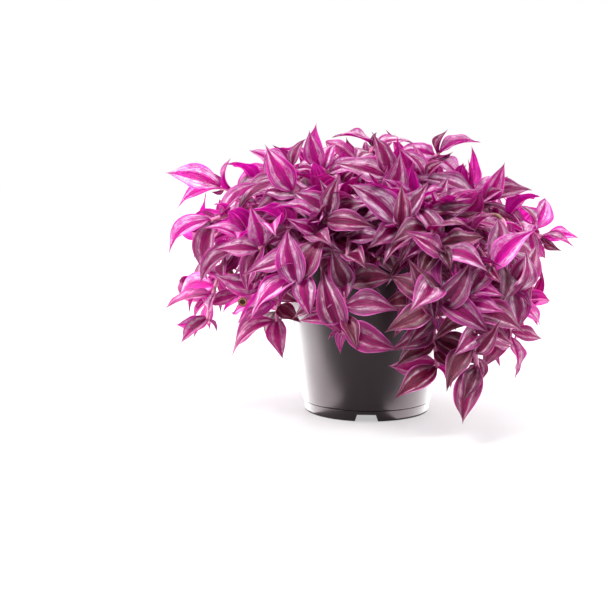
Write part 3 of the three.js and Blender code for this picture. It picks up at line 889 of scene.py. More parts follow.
@dataclass(frozen=True)
class UndersideFinish:
    """A blade's lower face: purple magenta, silky, with a raised pale midrib and darker veins."""

    midrib: Colour = srgb(244, 150, 214)
    blade: Colour = srgb(205, 34, 162)
    dark: Colour = srgb(128, 10, 84)
    margin: Colour = srgb(236, 84, 198)
    glow: Colour = srgb(252, 52, 226)
    deep: Colour = srgb(190, 10, 126)
    through_old: float = 0.5
    through_young: float = 0.76

    def material(self) -> bpy.types.Material:
        """The finish as a material.

        Returns:
            The material.
        """
        s = Shader(bpy.data.materials.new("leaf_underside"))
        across, along = s.uv("leaf")
        chance, youth_and_light = s.uv("tone")
        signed = s.scaled(across, 2.0, -1.0)
        apart = s.maths("ABSOLUTE", signed)
        seed = s.times(chance, 40.0)
        lengthwise = s.times(along, 1.2)
        fine = s.noise(s.join(s.times(signed, 26.0), lengthwise, seed), 2.0, 3, 0.6)
        broad = s.noise(s.join(s.times(signed, 6.0), lengthwise, seed), 2.0, 3, 0.6)
        cloud = s.noise(s.join(signed, s.times(along, 2.2), seed), 2.6, 3)
        streaks = s.times(s.span(broad, 0.38, 0.62), s.span(fine, 0.30, 0.62, 0.45, 1.0))
        blade = s.mix(streaks, self.dark, self.blade)
        band = s.times(s.span(apart, 0.30, 0.44), s.span(apart, 0.52, 0.74, 1.0, 0.0))
        ground = s.mix(s.times(band, 0.45), blade, self.margin)
        ground = s.mix(s.span(apart, 0.02, 0.09, 1.0, 0.0), ground, self.midrib)
        ground = s.mix(s.span(apart, 0.80, 1.0, 0.0, 0.8), ground, self.margin)
        # Painted light and shade: the underside is darker on leaves low in front and lighter on those high up
        # and at the sides
        shade = s.times(s.scaled(youth_and_light, 0.45, 0.66), s.span(cloud, 0.3, 0.7, 0.70, 1.20))
        colour = s.shaded(ground, shade)
        relief = s.plus(fine, s.times(broad, 3.0))
        normal = s.bump(relief, 0.00025)
        rough = s.span(fine, 0.2, 0.8, 0.38, 0.52)
        surface = s.surface(Base_Color=colour, Roughness=rough, Normal=normal, Specular_IOR_Level=0.4)
        glow = s.mix(0.55, s.mix(youth_and_light, self.deep, self.glow), colour)
        through = s.scaled(youth_and_light, self.through_young - self.through_old, self.through_old)
        through = s.times(through, s.span(streaks, 0.0, 1.0, 0.78, 1.0))
        return s.finish(s.lit_through(through, surface, glow, normal))


@dataclass(frozen=True)
class StemFinish:
    """A fleshy stem: olive between the nodes, pink with pale ribs where a sheath wraps it."""

    olive: Colour = srgb(124, 98, 58)
    brown: Colour = srgb(92, 52, 38)
    sheath: Colour = srgb(176, 54, 118)
    pale: Colour = srgb(222, 150, 188)

    def material(self) -> bpy.types.Material:
        """The finish as a material.

        Returns:
            The material.
        """
        s = Shader(bpy.data.materials.new("stem"))
        around, run = s.uv("stem")
        wrapped, chance = s.uv("tone")
        seed = s.times(chance, 40.0)
        mottle = s.noise(s.join(s.times(around, 3.0), s.times(run, 0.12), seed), 2.0, 3)
        flesh = s.mix(s.span(mottle, 0.35, 0.65), self.olive, self.brown)
        ribs = s.noise(s.join(s.times(around, 22.0), s.times(run, 0.05), seed), 1.6, 2)
        sleeve = s.mix(s.span(ribs, 0.42, 0.62), self.sheath, self.pale)
        colour = s.mix(wrapped, flesh, sleeve)
        normal = s.bump(ribs, 0.0002)
        rough = s.span(mottle, 0.3, 0.7, 0.36, 0.52)
        return s.finish(s.surface(Base_Color=colour, Roughness=rough, Normal=normal))


@dataclass(frozen=True)
class CutFinish:
    """The dried end of a cut stem: a straw-coloured rim around a dark brown heart."""

    straw: Colour = srgb(208, 152, 100)
    rust: Colour = srgb(142, 80, 44)
    heart: Colour = srgb(62, 34, 22)

    def material(self) -> bpy.types.Material:
        """The finish as a material.

        Returns:
            The material.
        """
        s = Shader(bpy.data.materials.new("cut_stem"))
        _, run = s.uv("stem")
        speck = s.noise(s.place(), 900, 3)
        depth = s.plus(s.span(run, 0.0, 1.0), s.span(speck, 0.35, 0.65, -0.3, 0.3))
        colour = s.ramp(depth, ((0.0, self.straw), (0.35, self.rust), (0.8, self.heart)))
        normal = s.bump(speck, 0.0002)
        rough = s.span(speck, 0.3, 0.7, 0.65, 0.85)
        return s.finish(s.surface(Base_Color=colour, Roughness=rough, Normal=normal))


@dataclass(frozen=True)
class PlasticFinish:
    """Black moulded plastic: satin, with faint flow marks, dust and fine scratches."""

    body: Colour = srgb(12, 6, 9)
    worn: Colour = srgb(18, 11, 14)
    dust: Colour = srgb(120, 112, 108)

    def material(self) -> bpy.types.Material:
        """The finish as a material.

        Returns:
            The material.
        """
        s = Shader(bpy.data.materials.new("pot_plastic"))
        place = s.place()
        x, y, z = s.split(place)
        flow = s.noise(s.join(x, y, s.times(z, 0.12)), 60.0, 3)
        cloud = s.noise(place, 22.0, 4, 0.6)
        grain = s.noise(place, 1400.0, 2)
        scratch = s.noise(s.join(s.times(x, 0.3), s.times(y, 0.3), z), 900.0, 2, 0.7)
        specks = s.span(s.noise(place, 900.0, 2, 0.7), 0.70, 0.82)
        body = s.mix(s.span(flow, 0.35, 0.7), self.body, self.worn)
        dusty = s.times(specks, s.span(z, 0.0, 0.03, 0.30, 0.04))
        colour = s.mix(dusty, body, self.dust)
        marks = s.span(scratch, 0.60, 0.76, 0.0, 0.06)
        rough = s.plus(s.span(cloud, 0.3, 0.7, 0.30, 0.38), marks)
        relief = s.plus(s.times(grain, 0.5), flow)
        normal = s.bump(relief, 0.00003)
        return s.finish(s.surface(Base_Color=colour, Roughness=rough, Normal=normal, Specular_IOR_Level=0.36,
                                  Specular_Tint=(1.0, 0.84, 0.90), Sheen_Weight=0.10, Sheen_Roughness=0.4,
                                  Sheen_Tint=(1.0, 0.84, 0.90)))


@dataclass(frozen=True)
class SoilFinish:
    """Moist peat with bark crumbs."""

    peat: Colour = srgb(46, 32, 24)
    bark: Colour = srgb(98, 68, 48)
    dark_peat: Colour = srgb(24, 17, 13)

    def material(self) -> bpy.types.Material:
        """The finish as a material.

        Returns:
            The material.
        """
        s = Shader(bpy.data.materials.new("potting_soil"))
        place = s.place()
        lumps = s.cells(place, 260.0)
        mottle = s.noise(place, 90.0, 4, 0.65)
        grit = s.noise(place, 900.0, 3, 0.7)
        colour = s.ramp(mottle, ((0.30, self.dark_peat), (0.52, self.peat), (0.72, self.bark)))
        # Darker between the lumps, where the relief is lowest
        colour = s.mix(s.span(lumps, 0.1, 0.6, 0.0, 0.55), colour, self.dark_peat)
        relief = s.plus(s.times(lumps, -1.0), grit)
        normal = s.bump(relief, 0.0012)
        rough = s.span(mottle, 0.3, 0.7, 0.72, 0.95)
        return s.finish(s.surface(Base_Color=colour, Roughness=rough, Normal=normal, Specular_IOR_Level=0.3))


@dataclass(frozen=True)
class FloorFinish:
    """A plain pale studio floor that glows by itself, dimmer near the pot and full white far off, and lights
    the plant from below.
    """

    white: Colour = (0.32, 0.32, 0.32)
    off_white: Colour = (0.30, 0.30, 0.30)
    near_glow: float = 0.48
    far_glow: float = 1.0
    near: float = 0.45
    far: float = 1.6

    def material(self) -> bpy.types.Material:
        """The finish as a material.

        Returns:
            The material.
        """
        s = Shader(bpy.data.materials.new("studio_floor"))
        place = s.place()
        colour = s.mix(s.noise(place, 3.0, 2), self.white, self.off_white)
        away = s.node("ShaderNodeVectorMath", {0: place}, operation="LENGTH").outputs["Value"]
        glow = s.span(away, self.near, self.far, self.near_glow, self.far_glow)
        return s.finish(s.surface(Base_Color=colour, Roughness=0.6, Specular_IOR_Level=0.2,
                                  Emission_Color=(1.0, 1.0, 1.0), Emission_Strength=glow))


def placed(name: str, data: bpy.types.ID) -> bpy.types.Object:
    """Puts an object into the scene.

    Args:
        name: Its name.
        data: Its mesh, light or camera.

    Returns:
        The object.
    """
    thing = bpy.data.objects.new(name, data)
    bpy.context.scene.collection.objects.link(thing)
    return thing


@dataclass
class Shell:
    """Vertices and faces of a piece as they gather, with what its materials read."""

    points: list[np.ndarray] = field(default_factory=list)
    faces: Faces = field(default_factory=list)
    sides: list[int] = field(default_factory=list)
    maps: dict[str, list[np.ndarray]] = field(default_factory=dict)
    edges: list[tuple[int, int]] = field(default_factory=list)
    count: int = 0

    def add(self, points: np.ndarray, faces: Faces, sides: Iterable[int],
            edges: Iterable[tuple[int, int]] = (), **maps: np.ndarray) -> None:
        """Adds a closed shell.

        Args:
            points: Its corners, in millimetres.
            faces: Its faces, as rows of corner numbers.
            sides: The material of each face.
            edges: The pairs of corners whose edge stays crisp.
            maps: For each UV map, two numbers a corner.
        """
        start = self.count
        self.points.append(points)
        self.faces.extend(tuple(start + i for i in face) for face in faces)
        self.sides.extend(sides)
        self.edges.extend((start + a, start + b) for a, b in edges)
        for name, values in maps.items():
            self.maps.setdefault(name, []).append(values)
        self.count += len(points)

    def piece(self, name: str, materials: Materials) -> bpy.types.Object:
        """The gathered shells as one smooth object.

        Args:
            name: The piece's name.
            materials: Its materials, in the order of the faces' numbers.

        Returns:
            The object, in metres.
        """
        mesh = bpy.data.meshes.new(name)
        mesh.from_pydata((np.vstack(self.points) * MM).tolist(), [], self.faces)
        for material in materials:
            mesh.materials.append(material)
        mesh.polygons.foreach_set("material_index", self.sides)
        mesh.polygons.foreach_set("use_smooth", [True] * len(self.faces))
        corner = np.zeros(len(mesh.loops), int)
        mesh.loops.foreach_get("vertex_index", corner)
        for key, values in self.maps.items():
            layer = mesh.uv_layers.new(name=key)
            layer.data.foreach_set("uv", np.vstack(values)[corner].astype(np.float32).ravel())
        if self.edges:
            ends = np.zeros(2 * len(mesh.edges), int)
            mesh.edges.foreach_get("vertices", ends)
            crisp = {tuple(sorted(pair)) for pair in self.edges}
            pairs = (tuple(sorted(pair)) for pair in ends.reshape(-1, 2).tolist())
            mesh.edges.foreach_set("use_edge_sharp", [pair in crisp for pair in pairs])
        mesh.validate()
        mesh.update()
        return placed(name, mesh)


@dataclass
class BladeForm:
    """How a leaf is made: a folded, arched blade with full halves, waved margins and a fine tip."""

    rows: int = 20
    columns: int = 10
    # The outline
    widest: float = 0.38
    base_power: float = 0.85
    fall_power: float = 1.85
    tip_power: float = 1.8
    wider: float = 1.2
    neck: float = 1.3
    neck_share: float = 0.12
    # The thickness
    lamina: float = 0.32
    rib: float = 0.75
    rib_width: float = 0.14
    rib_fade: float = 0.75
    thin_edge: float = 8
    least: float = 0.1
    # The fold
    fullness: float = 0.5
    fold_play: Limits = (0.75, 1.25)
    base_fold: float = 34
    base_share: float = 0.2
    # The waved margins and the veins
    wave: float = 0.032
    wave_play: Limits = (0.4, 1.6)
    wave_edge: float = 2.4
    beats: Limits = (1.2, 2.6)
    veins: float = 5.5
    vein_height: float = 0.10
    vein_width: float = 4
    # The bends
    sway: float = 0.08
    twist: float = 30
    twist_from: float = 0.3
    curl: float = 0.10
    curl_play: Limits = (-0.3, 1)

    def width(self, share: np.ndarray) -> np.ndarray:
        """The blade's outline.

        Args:
            share: Shares of its length.

        Returns:
            Half its width at each share, over its widest half.
        """
        rising = np.sin(np.pi * np.clip(share, 0, self.widest) / (2 * self.widest)) ** self.base_power
        past = np.clip(share - self.widest, 0, None) / (1 - self.widest)
        falling = (1 - past**self.fall_power) ** self.tip_power
        return np.where(share < self.widest, rising, falling)

    def grow(self, shell: Shell, blade: Blade, tone: Tone, chance: Chance) -> None:
        """Adds a leaf to a shell.

        Args:
            shell: What it is added to.
            blade: The leaf.
            tone: The numbers that its colours read.
            chance: Where its waves and bends are drawn from.
        """
        length = blade.length
        share = np.linspace(0, 1, self.rows + 1)
        t = np.linspace(-1, 1, self.columns + 1)
        across0 = unit(np.cross(blade.chord, blade.face))
        sway = chance.uniform(-self.sway, self.sway) * length * np.sin(np.pi * share)
        spine = (blade.base + blade.chord * share[:, None]
                 + blade.face * (4 * blade.bow * length * share * (1 - share))[:, None]
                 - blade.face * (chance.uniform(*self.curl_play) * self.curl * length * share**4)[:, None]
                 + across0 * sway[:, None])
        slope = np.gradient(spine, share, axis=0)
        slope /= np.linalg.norm(slope, axis=1, keepdims=True)
        turn = np.radians(chance.uniform(-self.twist, self.twist)) * (share - self.twist_from)
        normal0 = np.cross(across0, slope)
        normal0 /= np.linalg.norm(normal0, axis=1, keepdims=True)
        across = across0 * np.cos(turn)[:, None] + normal0 * np.sin(turn)[:, None]
        normal = normal0 * np.cos(turn)[:, None] - across0 * np.sin(turn)[:, None]
        half = self.wider * blade.ratio * length * self.width(share)
        half = np.maximum(half, self.neck * np.clip(1 - share / self.neck_share, 0, 1))
        closed = np.radians(self.base_fold) * np.clip(1 - share / self.base_share, 0, 1) ** 2
        fold = blade.fold * chance.uniform(*self.fold_play) + closed
        apart = np.abs(t)
        lift = (1 + self.fullness) * apart - self.fullness * apart**2
        waves = np.zeros((self.rows + 1, self.columns + 1))
        for sign in (-1, 1):
            phase, beats = chance.uniform(0, 2 * np.pi), chance.uniform(*self.beats)
            ripple = np.sin(2 * np.pi * beats * share + phase) * np.sin(np.pi * share) ** 0.7
            height = chance.uniform(*self.wave_play) * self.wave * length
            waves += height * ripple[:, None] * np.where(np.sign(t) == sign, apart**self.wave_edge, 0)[None]
        wide = half[:, None] * np.cos(fold)[:, None] * t[None]
        high = half[:, None] * np.sin(fold)[:, None] * lift[None] + waves
        veins = self.vein_height * np.sin(self.veins * np.pi * apart)
        high += veins[None] * np.clip(half / self.vein_width, 0, 1)[:, None]
        upper = spine[:, None] + across[:, None] * wide[..., None] + normal[:, None] * high[..., None]
        rib = self.rib * np.exp(-((apart / self.rib_width) ** 2))
        ribbed = self.lamina + rib[None] * (1 - self.rib_fade * share)[:, None]
        thick = np.minimum(ribbed * (1 - apart**self.thin_edge)[None], self.least + 0.5 * half[:, None])
        lower = upper - normal[:, None] * thick[..., None]
        self.join_faces(shell, upper, lower, share, t, tone)

    def join_faces(self, shell: Shell, upper: np.ndarray, lower: np.ndarray, share: np.ndarray,
                   t: np.ndarray, tone: Tone) -> None:
        """Closes the two faces of a blade into one shell.

        Args:
            shell: What it is added to.
            upper: The upper face's points, a row for each share.
            lower: The lower face's points.
            share: Each row's share of the length.
            t: Each column's place across, from -1 to 1.
            tone: The numbers that its colours read.
        """
        n, m = self.rows, self.columns
        points = np.vstack([upper[:n].reshape(-1, 3), lower[:n, 1:m].reshape(-1, 3), upper[n, m // 2][None]])
        low = n * (m + 1)
        end = len(points) - 1

        def top(i: int, j: int) -> int:
            """The number of an upper corner."""
            return i * (m + 1) + j

        def under(i: int, j: int) -> int:
            """The number of a lower corner, which at the margins is the upper one."""
            return top(i, j) if j in (0, m) else low + i * (m - 1) + j - 1

        faces, sides, crisp = [], [], []
        for i in range(n - 1):
            for j in range(m):
                faces.append((top(i, j), top(i, j + 1), top(i + 1, j + 1), top(i + 1, j)))
                faces.append((under(i, j), under(i + 1, j), under(i + 1, j + 1), under(i, j + 1)))
                sides.extend((Side.UPPER.value, Side.UNDER.value))
            crisp.extend(((top(i, 0), top(i + 1, 0)), (top(i, m), top(i + 1, m))))
        for j in range(m):
            faces.append((top(n - 1, j), top(n - 1, j + 1), end))
            faces.append((under(n - 1, j + 1), under(n - 1, j), end))
            sides.extend((Side.UPPER.value, Side.UNDER.value))
        faces.append(tuple([top(0, j) for j in range(m, -1, -1)] + [under(0, j) for j in range(1, m)]))
        sides.append(Side.UNDER.value)
        place = np.stack(np.meshgrid((t + 1) / 2, share[:n]), axis=-1)
        leaf = np.vstack([place.reshape(-1, 2), place[:, 1:m].reshape(-1, 2), [[0.5, 1.0]]])
        shell.add(points, faces, sides, crisp, leaf=leaf, tone=np.tile(tone, (len(points), 1)))


@dataclass
class Room:
    """The room that the plant's parts take, so that a further leaf stands clear of them."""

    trees: list[BVHTree] = field(default_factory=list)
    middles: np.ndarray = field(default_factory=lambda: np.zeros((0, 3)))
    reaches: np.ndarray = field(default_factory=lambda: np.zeros(0))

    def measure(self, points: np.ndarray) -> tuple[Point, float]:
        """The middle of some points and how far they reach from it."""
        middle = (points.min(axis=0) + points.max(axis=0)) / 2
        return middle, float(np.linalg.norm(points - middle, axis=1).max())

    def take(self, points: np.ndarray, faces: Faces) -> None:
        """Adds a surface to what stands.

        Args:
            points: Its corners.
            faces: Its faces.
        """
        middle, reach = self.measure(points)
        self.trees.append(BVHTree.FromPolygons(points.tolist(), faces))
        self.middles = np.vstack([self.middles, middle])
        self.reaches = np.append(self.reaches, reach)

    def free(self, points: np.ndarray, faces: Faces) -> bool:
        """Whether a surface crosses nothing that stands.

        Args:
            points: Its corners.
            faces: Its faces.

        Returns:
            True if it is free.
        """
        middle, reach = self.measure(points)
        near = np.linalg.norm(self.middles - middle, axis=1) < self.reaches + reach
        tree = BVHTree.FromPolygons(points.tolist(), faces)
        return not any(tree.overlap(self.trees[k]) for k in np.flatnonzero(near))


@dataclass
class InnerLeaves:
    """The older leaves down each stem to the soil, which fill the crown between the stars."""

    seed: int = 900
    step: float = 1.5
    below_tip: float = 8
    above_root: float = 6
    apart: float = 6.5
    lowest: float = 143
    pot_reach: float = 82
    # The manner of a leaf
    length: Limits = (28, 47)
    turn: Limits = (0, 150)
    lean: Limits = (42, 88)
    droop: Limits = (0, 0.35)
    fold: Limits = (12, 34)
    bow: Limits = (0.05, 0.17)
    ratio: Limits = (0.19, 0.235)
    outwards: float = 0.7
    light_up: float = 0.8
    light_out: float = 0.5
    light_play: float = 0.25
    # What it keeps clear of, and how often it is tried
    clear: float = 0.9
    own_share: float = 0.12
    inside_low: float = 2
    inside_high: float = 4
    tries: int = 18
    front: float = -60
    front_top: float = 165
    front_apart: float = 4
    front_tries: int = 54
    # The plain forms that stand for stems and blades
    stem_points: int = 25
    stem_reach: float = 1.8
    stem_corners: tuple[float, ...] = (0.0, 2.1, 4.2)
    shares: tuple[float, ...] = (0.1, 0.32, 0.55, 0.78, 1.0)
    widths: tuple[float, ...] = (0.45, 1.0, 0.85, 0.4, 0.0)
    room: Room = field(default_factory=Room)

    def sheet(self, blade: Blade, clear: float) -> tuple[np.ndarray, Faces]:
        """A blade as a plain folded sheet, or as two that stand clear above and below it.

        Args:
            blade: The leaf.
            clear: How far the two sheets stand from the blade, or 0 for one sheet.

        Returns:
            Its corners and its faces.
        """
        across = unit(np.cross(blade.chord, blade.face)) * blade.length * blade.ratio
        rows = []
        for share, width in zip(self.shares, self.widths):
            bow = 4 * blade.bow * blade.length * share * (1 - share)
            middle = blade.base + blade.chord * share + blade.face * bow
            rise = blade.face * (width * blade.length * blade.ratio * math.sin(blade.fold))
            side = across * width * math.cos(blade.fold)
            rows.append([middle - side + rise, middle, middle + side + rise])
        grid = np.array(rows).reshape(-1, 3)
        faces = []
        for i in range(len(self.shares) - 1):
            for j in range(2):
                k = 3 * i + j
                faces.extend(((k, k + 1, k + 4), (k, k + 4, k + 3)))
        if clear == 0:
            return grid, faces
        count = len(grid)
        other = [tuple(count + i for i in face) for face in faces]
        return np.vstack([grid + blade.face * clear, grid - blade.face * clear]), faces + other

    def tube(self, shoot: Shoot) -> tuple[np.ndarray, Faces]:
        """A stem as a plain tube of three sides.

        Args:
            shoot: The shoot.

        Returns:
            Its corners and its faces.
        """
        points = shoot.curve.spaced(np.linspace(0, 1, self.stem_points))
        reach = self.stem_reach
        ring = np.array([[reach * math.cos(a), reach * math.sin(a), 0.0] for a in self.stem_corners])
        corners = (points[:, None] + ring[None]).reshape(-1, 3)
        faces = []
        for k in range(len(points) - 1):
            for j in range(3):
                i = (j + 1) % 3
                faces.append((3 * k + j, 3 * k + i, 3 * k + 3 + i, 3 * k + 3 + j))
        return corners, faces

    def stand(self, shoots: Sequence[Shoot]) -> Room:
        """The room that the pot, the stems and the leaves of the solids take.

        Args:
            shoots: The shoots as they stand in the solids.

        Returns:
            The room.
        """
        room = Room()
        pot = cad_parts["pot"].data
        room.take(np.array([v.co for v in pot.vertices]) / MM, [tuple(f.vertices) for f in pot.polygons])
        for shoot in shoots:
            room.take(*self.tube(shoot))
            for blade in shoot.blades:
                room.take(*self.sheet(blade, 0))
        return room

    def offer(self, point: Point, along: Point, down: float, chance: Chance) -> Blade:
        """A leaf that could stand at a node.

        Args:
            point: The node's place.
            along: The stem's direction there, towards its tip.
            down: How far down the stem the node is, from 0 at the tip to 1.
            chance: Where its manner is drawn from.

        Returns:
            The leaf.
        """
        out = unit(np.array([point[0], point[1], 0.0]) + 1e-6)
        rising = UP + out * self.outwards
        top = unit(rising - along * along.dot(rising) + 1e-6)
        side = np.cross(along, top)
        turn = chance.choice([-1, 1]) * radians(chance.uniform(*self.turn))
        lean = radians(chance.uniform(*self.lean))
        radial = top * math.cos(turn) + side * math.sin(turn)
        chord = unit(along * math.cos(lean) + radial * math.sin(lean) - UP * chance.uniform(*self.droop))
        light = UP * self.light_up + out * self.light_out + chance.normal(size=3) * self.light_play
        light = unit(light - chord * chord.dot(light))
        length = chance.uniform(*self.length)
        fold, bow = radians(chance.uniform(*self.fold)), chance.uniform(*self.bow)
        return Blade(point, chord * length, light, fold, bow, chance.uniform(*self.ratio), 1 - down)

    def inside(self, blade: Blade) -> bool:
        """Whether a leaf stays within the solids' own reach."""
        low, high = np.array(CAD_BOX) / MM
        return bool(np.all(blade.tip > low + self.inside_low) and np.all(blade.tip < high - self.inside_high))

    def grow(self, shoots: Sequence[Shoot]) -> dict[str, list[Blade]]:
        """Seats the further leaves of every stem.

        Args:
            shoots: The shoots as they stand in the solids.

        Returns:
            For each shoot's name, its further leaves.
        """
        self.room = self.stand(shoots)
        grown: dict[str, list[Blade]] = {shoot.name: [] for shoot in shoots}
        for number, shoot in enumerate(shoots):
            chance = np.random.default_rng(self.seed + number)
            length = shoot.curve.length
            seats = [(1 - blade.share) * length for blade in shoot.blades]
            for down in np.arange(self.below_tip, length - self.above_root, self.step):
                point, ahead = shoot.curve.spaced(np.array([1 - down / length, 1 - (down - 1) / length]))
                sunk = point[2] < self.lowest and math.hypot(point[0], point[1]) < self.pot_reach
                hanging = point[1] < self.front and point[2] < self.front_top
                apart = self.front_apart if hanging else self.apart
                if sunk or min(abs(down - seat) for seat in seats) < apart:
                    continue
                for _ in range(self.front_tries if hanging else self.tries):
                    blade = self.offer(point, unit(ahead - point), down / length, chance)
                    if self.seated(blade, self.own_share):
                        grown[shoot.name].append(blade)
                        seats.append(down)
                        break
        return grown

    def seated(self, blade: Blade, share: float) -> bool:
        """Seats a leaf if it crosses nothing past a share of its length.

        Args:
            blade: The leaf.
            share: That share: up to there its own stem and star are in its way.

        Returns:
            Whether it was seated.
        """
        free = self.inside(blade) and self.room.free(*self.sheet(self.rest(blade, share), self.clear))
        if free:
            self.room.take(*self.sheet(blade, 0))
        return free

    def rest(self, blade: Blade, share: float) -> Blade:
        """The same leaf from a share of its length on.

        Args:
            blade: The leaf.
            share: The share.

        Returns:
            The rest of it.
        """
        start = blade.chord * share
        return Blade(blade.base + start, blade.chord - start, blade.face, blade.fold, blade.bow, blade.ratio,
                     blade.share)


@dataclass
class StemForm:
    """How a stem is made: a round tube that narrows to its tip, with a sheath at each leaf."""

    sides: int = 12
    thick: float = 1.55
    thin: float = 1.15
    sheath: float = 1.95
    sheath_length: float = 7.0
    sheath_start: float = 0.6
    sheath_fade: float = 3.0
    sheath_taper: float = 0.045
    step: float = 3.0
    least_step: float = 0.25
    upright: float = 0.15

    def radii(self, down: np.ndarray, length: float, nodes: Sequence[float]) -> tuple[np.ndarray, np.ndarray]:
        """The stem's radius and how far a sheath wraps it.

        Args:
            down: Distances from the tip.
            length: The stem's whole length.
            nodes: The distance from the tip at which each leaf leaves the stem.

        Returns:
            The radius and the share of sheath at each distance.
        """
        radius = self.thin + (self.thick - self.thin) * down / length
        wrapped = np.zeros_like(down)
        for node in nodes:
            past = down - node
            starting = np.clip((past + self.sheath_start) / self.sheath_start, 0, 1)
            inside = starting * np.clip((self.sheath_length - past) / self.sheath_fade, 0, 1)
            grown = self.sheath - self.sheath_taper * np.clip(past, 0, None)
            radius = np.maximum(radius, radius + (grown - radius) * inside)
            wrapped = np.maximum(wrapped, inside)
        return radius, wrapped

    def frames(self, points: np.ndarray) -> tuple[np.ndarray, np.ndarray, np.ndarray]:
        """The directions of a stem.

        Args:
            points: The points that it runs through.

        Returns:
            At each point, the direction that it runs in and two directions across it.
        """
        along = np.gradient(points, axis=0)
        along /= np.linalg.norm(along, axis=1, keepdims=True)
        side = np.cross(along[0], UP)
        if np.linalg.norm(side) < self.upright:
            side = np.cross(along[0], np.array([1.0, 0.0, 0.0]))
        across = [unit(side)]
        for direction in along[1:]:
            across.append(unit(across[-1] - direction * across[-1].dot(direction)))
        first = np.array(across)
        return along, first, np.cross(along, first)

    def tube(self, points: np.ndarray, first: np.ndarray, second: np.ndarray,
             radius: np.ndarray) -> tuple[np.ndarray, Faces]:
        """A closed round tube.

        Args:
            points: The points that it runs through.
            first: A direction across it at each point.
            second: The other direction across it.
            radius: Its radius at each point.

        Returns:
            Its corners, ring by ring, and its faces. The two ends come last.
        """
        angle = np.linspace(0, 2 * np.pi, self.sides, endpoint=False)
        ring = first[:, None] * np.cos(angle)[None, :, None] + second[:, None] * np.sin(angle)[None, :, None]
        body = points[:, None] + ring * radius[:, None, None]
        last = (len(points) - 1) * self.sides
        faces: Faces = []
        for start in range(0, last, self.sides):
            for j in range(self.sides):
                i = (j + 1) % self.sides
                faces.append((start + j, start + i, start + self.sides + i, start + self.sides + j))
        faces.append(tuple(range(self.sides - 1, -1, -1)))
        faces.append(tuple(last + j for j in range(self.sides)))
        return body.reshape(-1, 3), faces

    def grow(self, shell: Shell, shoot: Shoot, further: Sequence[Blade], chance: Chance) -> None:
        """Adds a stem to a shell.

        Args:
            shell: What it is added to.
            shoot: The shoot.
            further: The leaves that it has besides the solid's own.
            chance: Where its tone is drawn from.
        """
        length = shoot.curve.length
        nodes = [(1 - blade.share) * length for blade in (*shoot.blades, *further)]
        stops = set(np.arange(0, length, self.step).tolist()) | {length}
        for node in nodes:
            end = node + self.sheath_length
            stops |= {node - self.sheath_start, node, node + self.sheath_fade, end - self.sheath_fade, end}
        down = np.array(sorted(d for d in stops if 0 <= d <= length))
        down = down[np.concatenate([[True], np.diff(down) > self.least_step])]
        points = shoot.curve.spaced(1 - down / length)
        _, first, second = self.frames(points)
        radius, wrapped = self.radii(down, length, nodes)
        body, faces = self.tube(points, first, second, radius)
        stem, tone = self.marks(down, wrapped, chance.uniform())
        shell.add(body, faces, [0] * len(faces), stem=stem, tone=tone)

    def marks(self, run: np.ndarray, wrapped: np.ndarray, chance: float) -> tuple[np.ndarray, np.ndarray]:
        """What the stem's finish reads at each corner of a tube.

        Args:
            run: The distance along the tube at each ring.
            wrapped: The share of sheath at each ring.
            chance: The stem's own number.

        Returns:
            How far around and along each corner is, and its share of sheath with the stem's number.
        """
        turn = np.tile(np.abs(np.linspace(-1, 1, self.sides, endpoint=False)), len(run))
        tone = np.stack([wrapped, np.full(len(run), chance)], axis=1)
        return np.stack([turn, np.repeat(run, self.sides)], axis=1), np.repeat(tone, self.sides, axis=0)


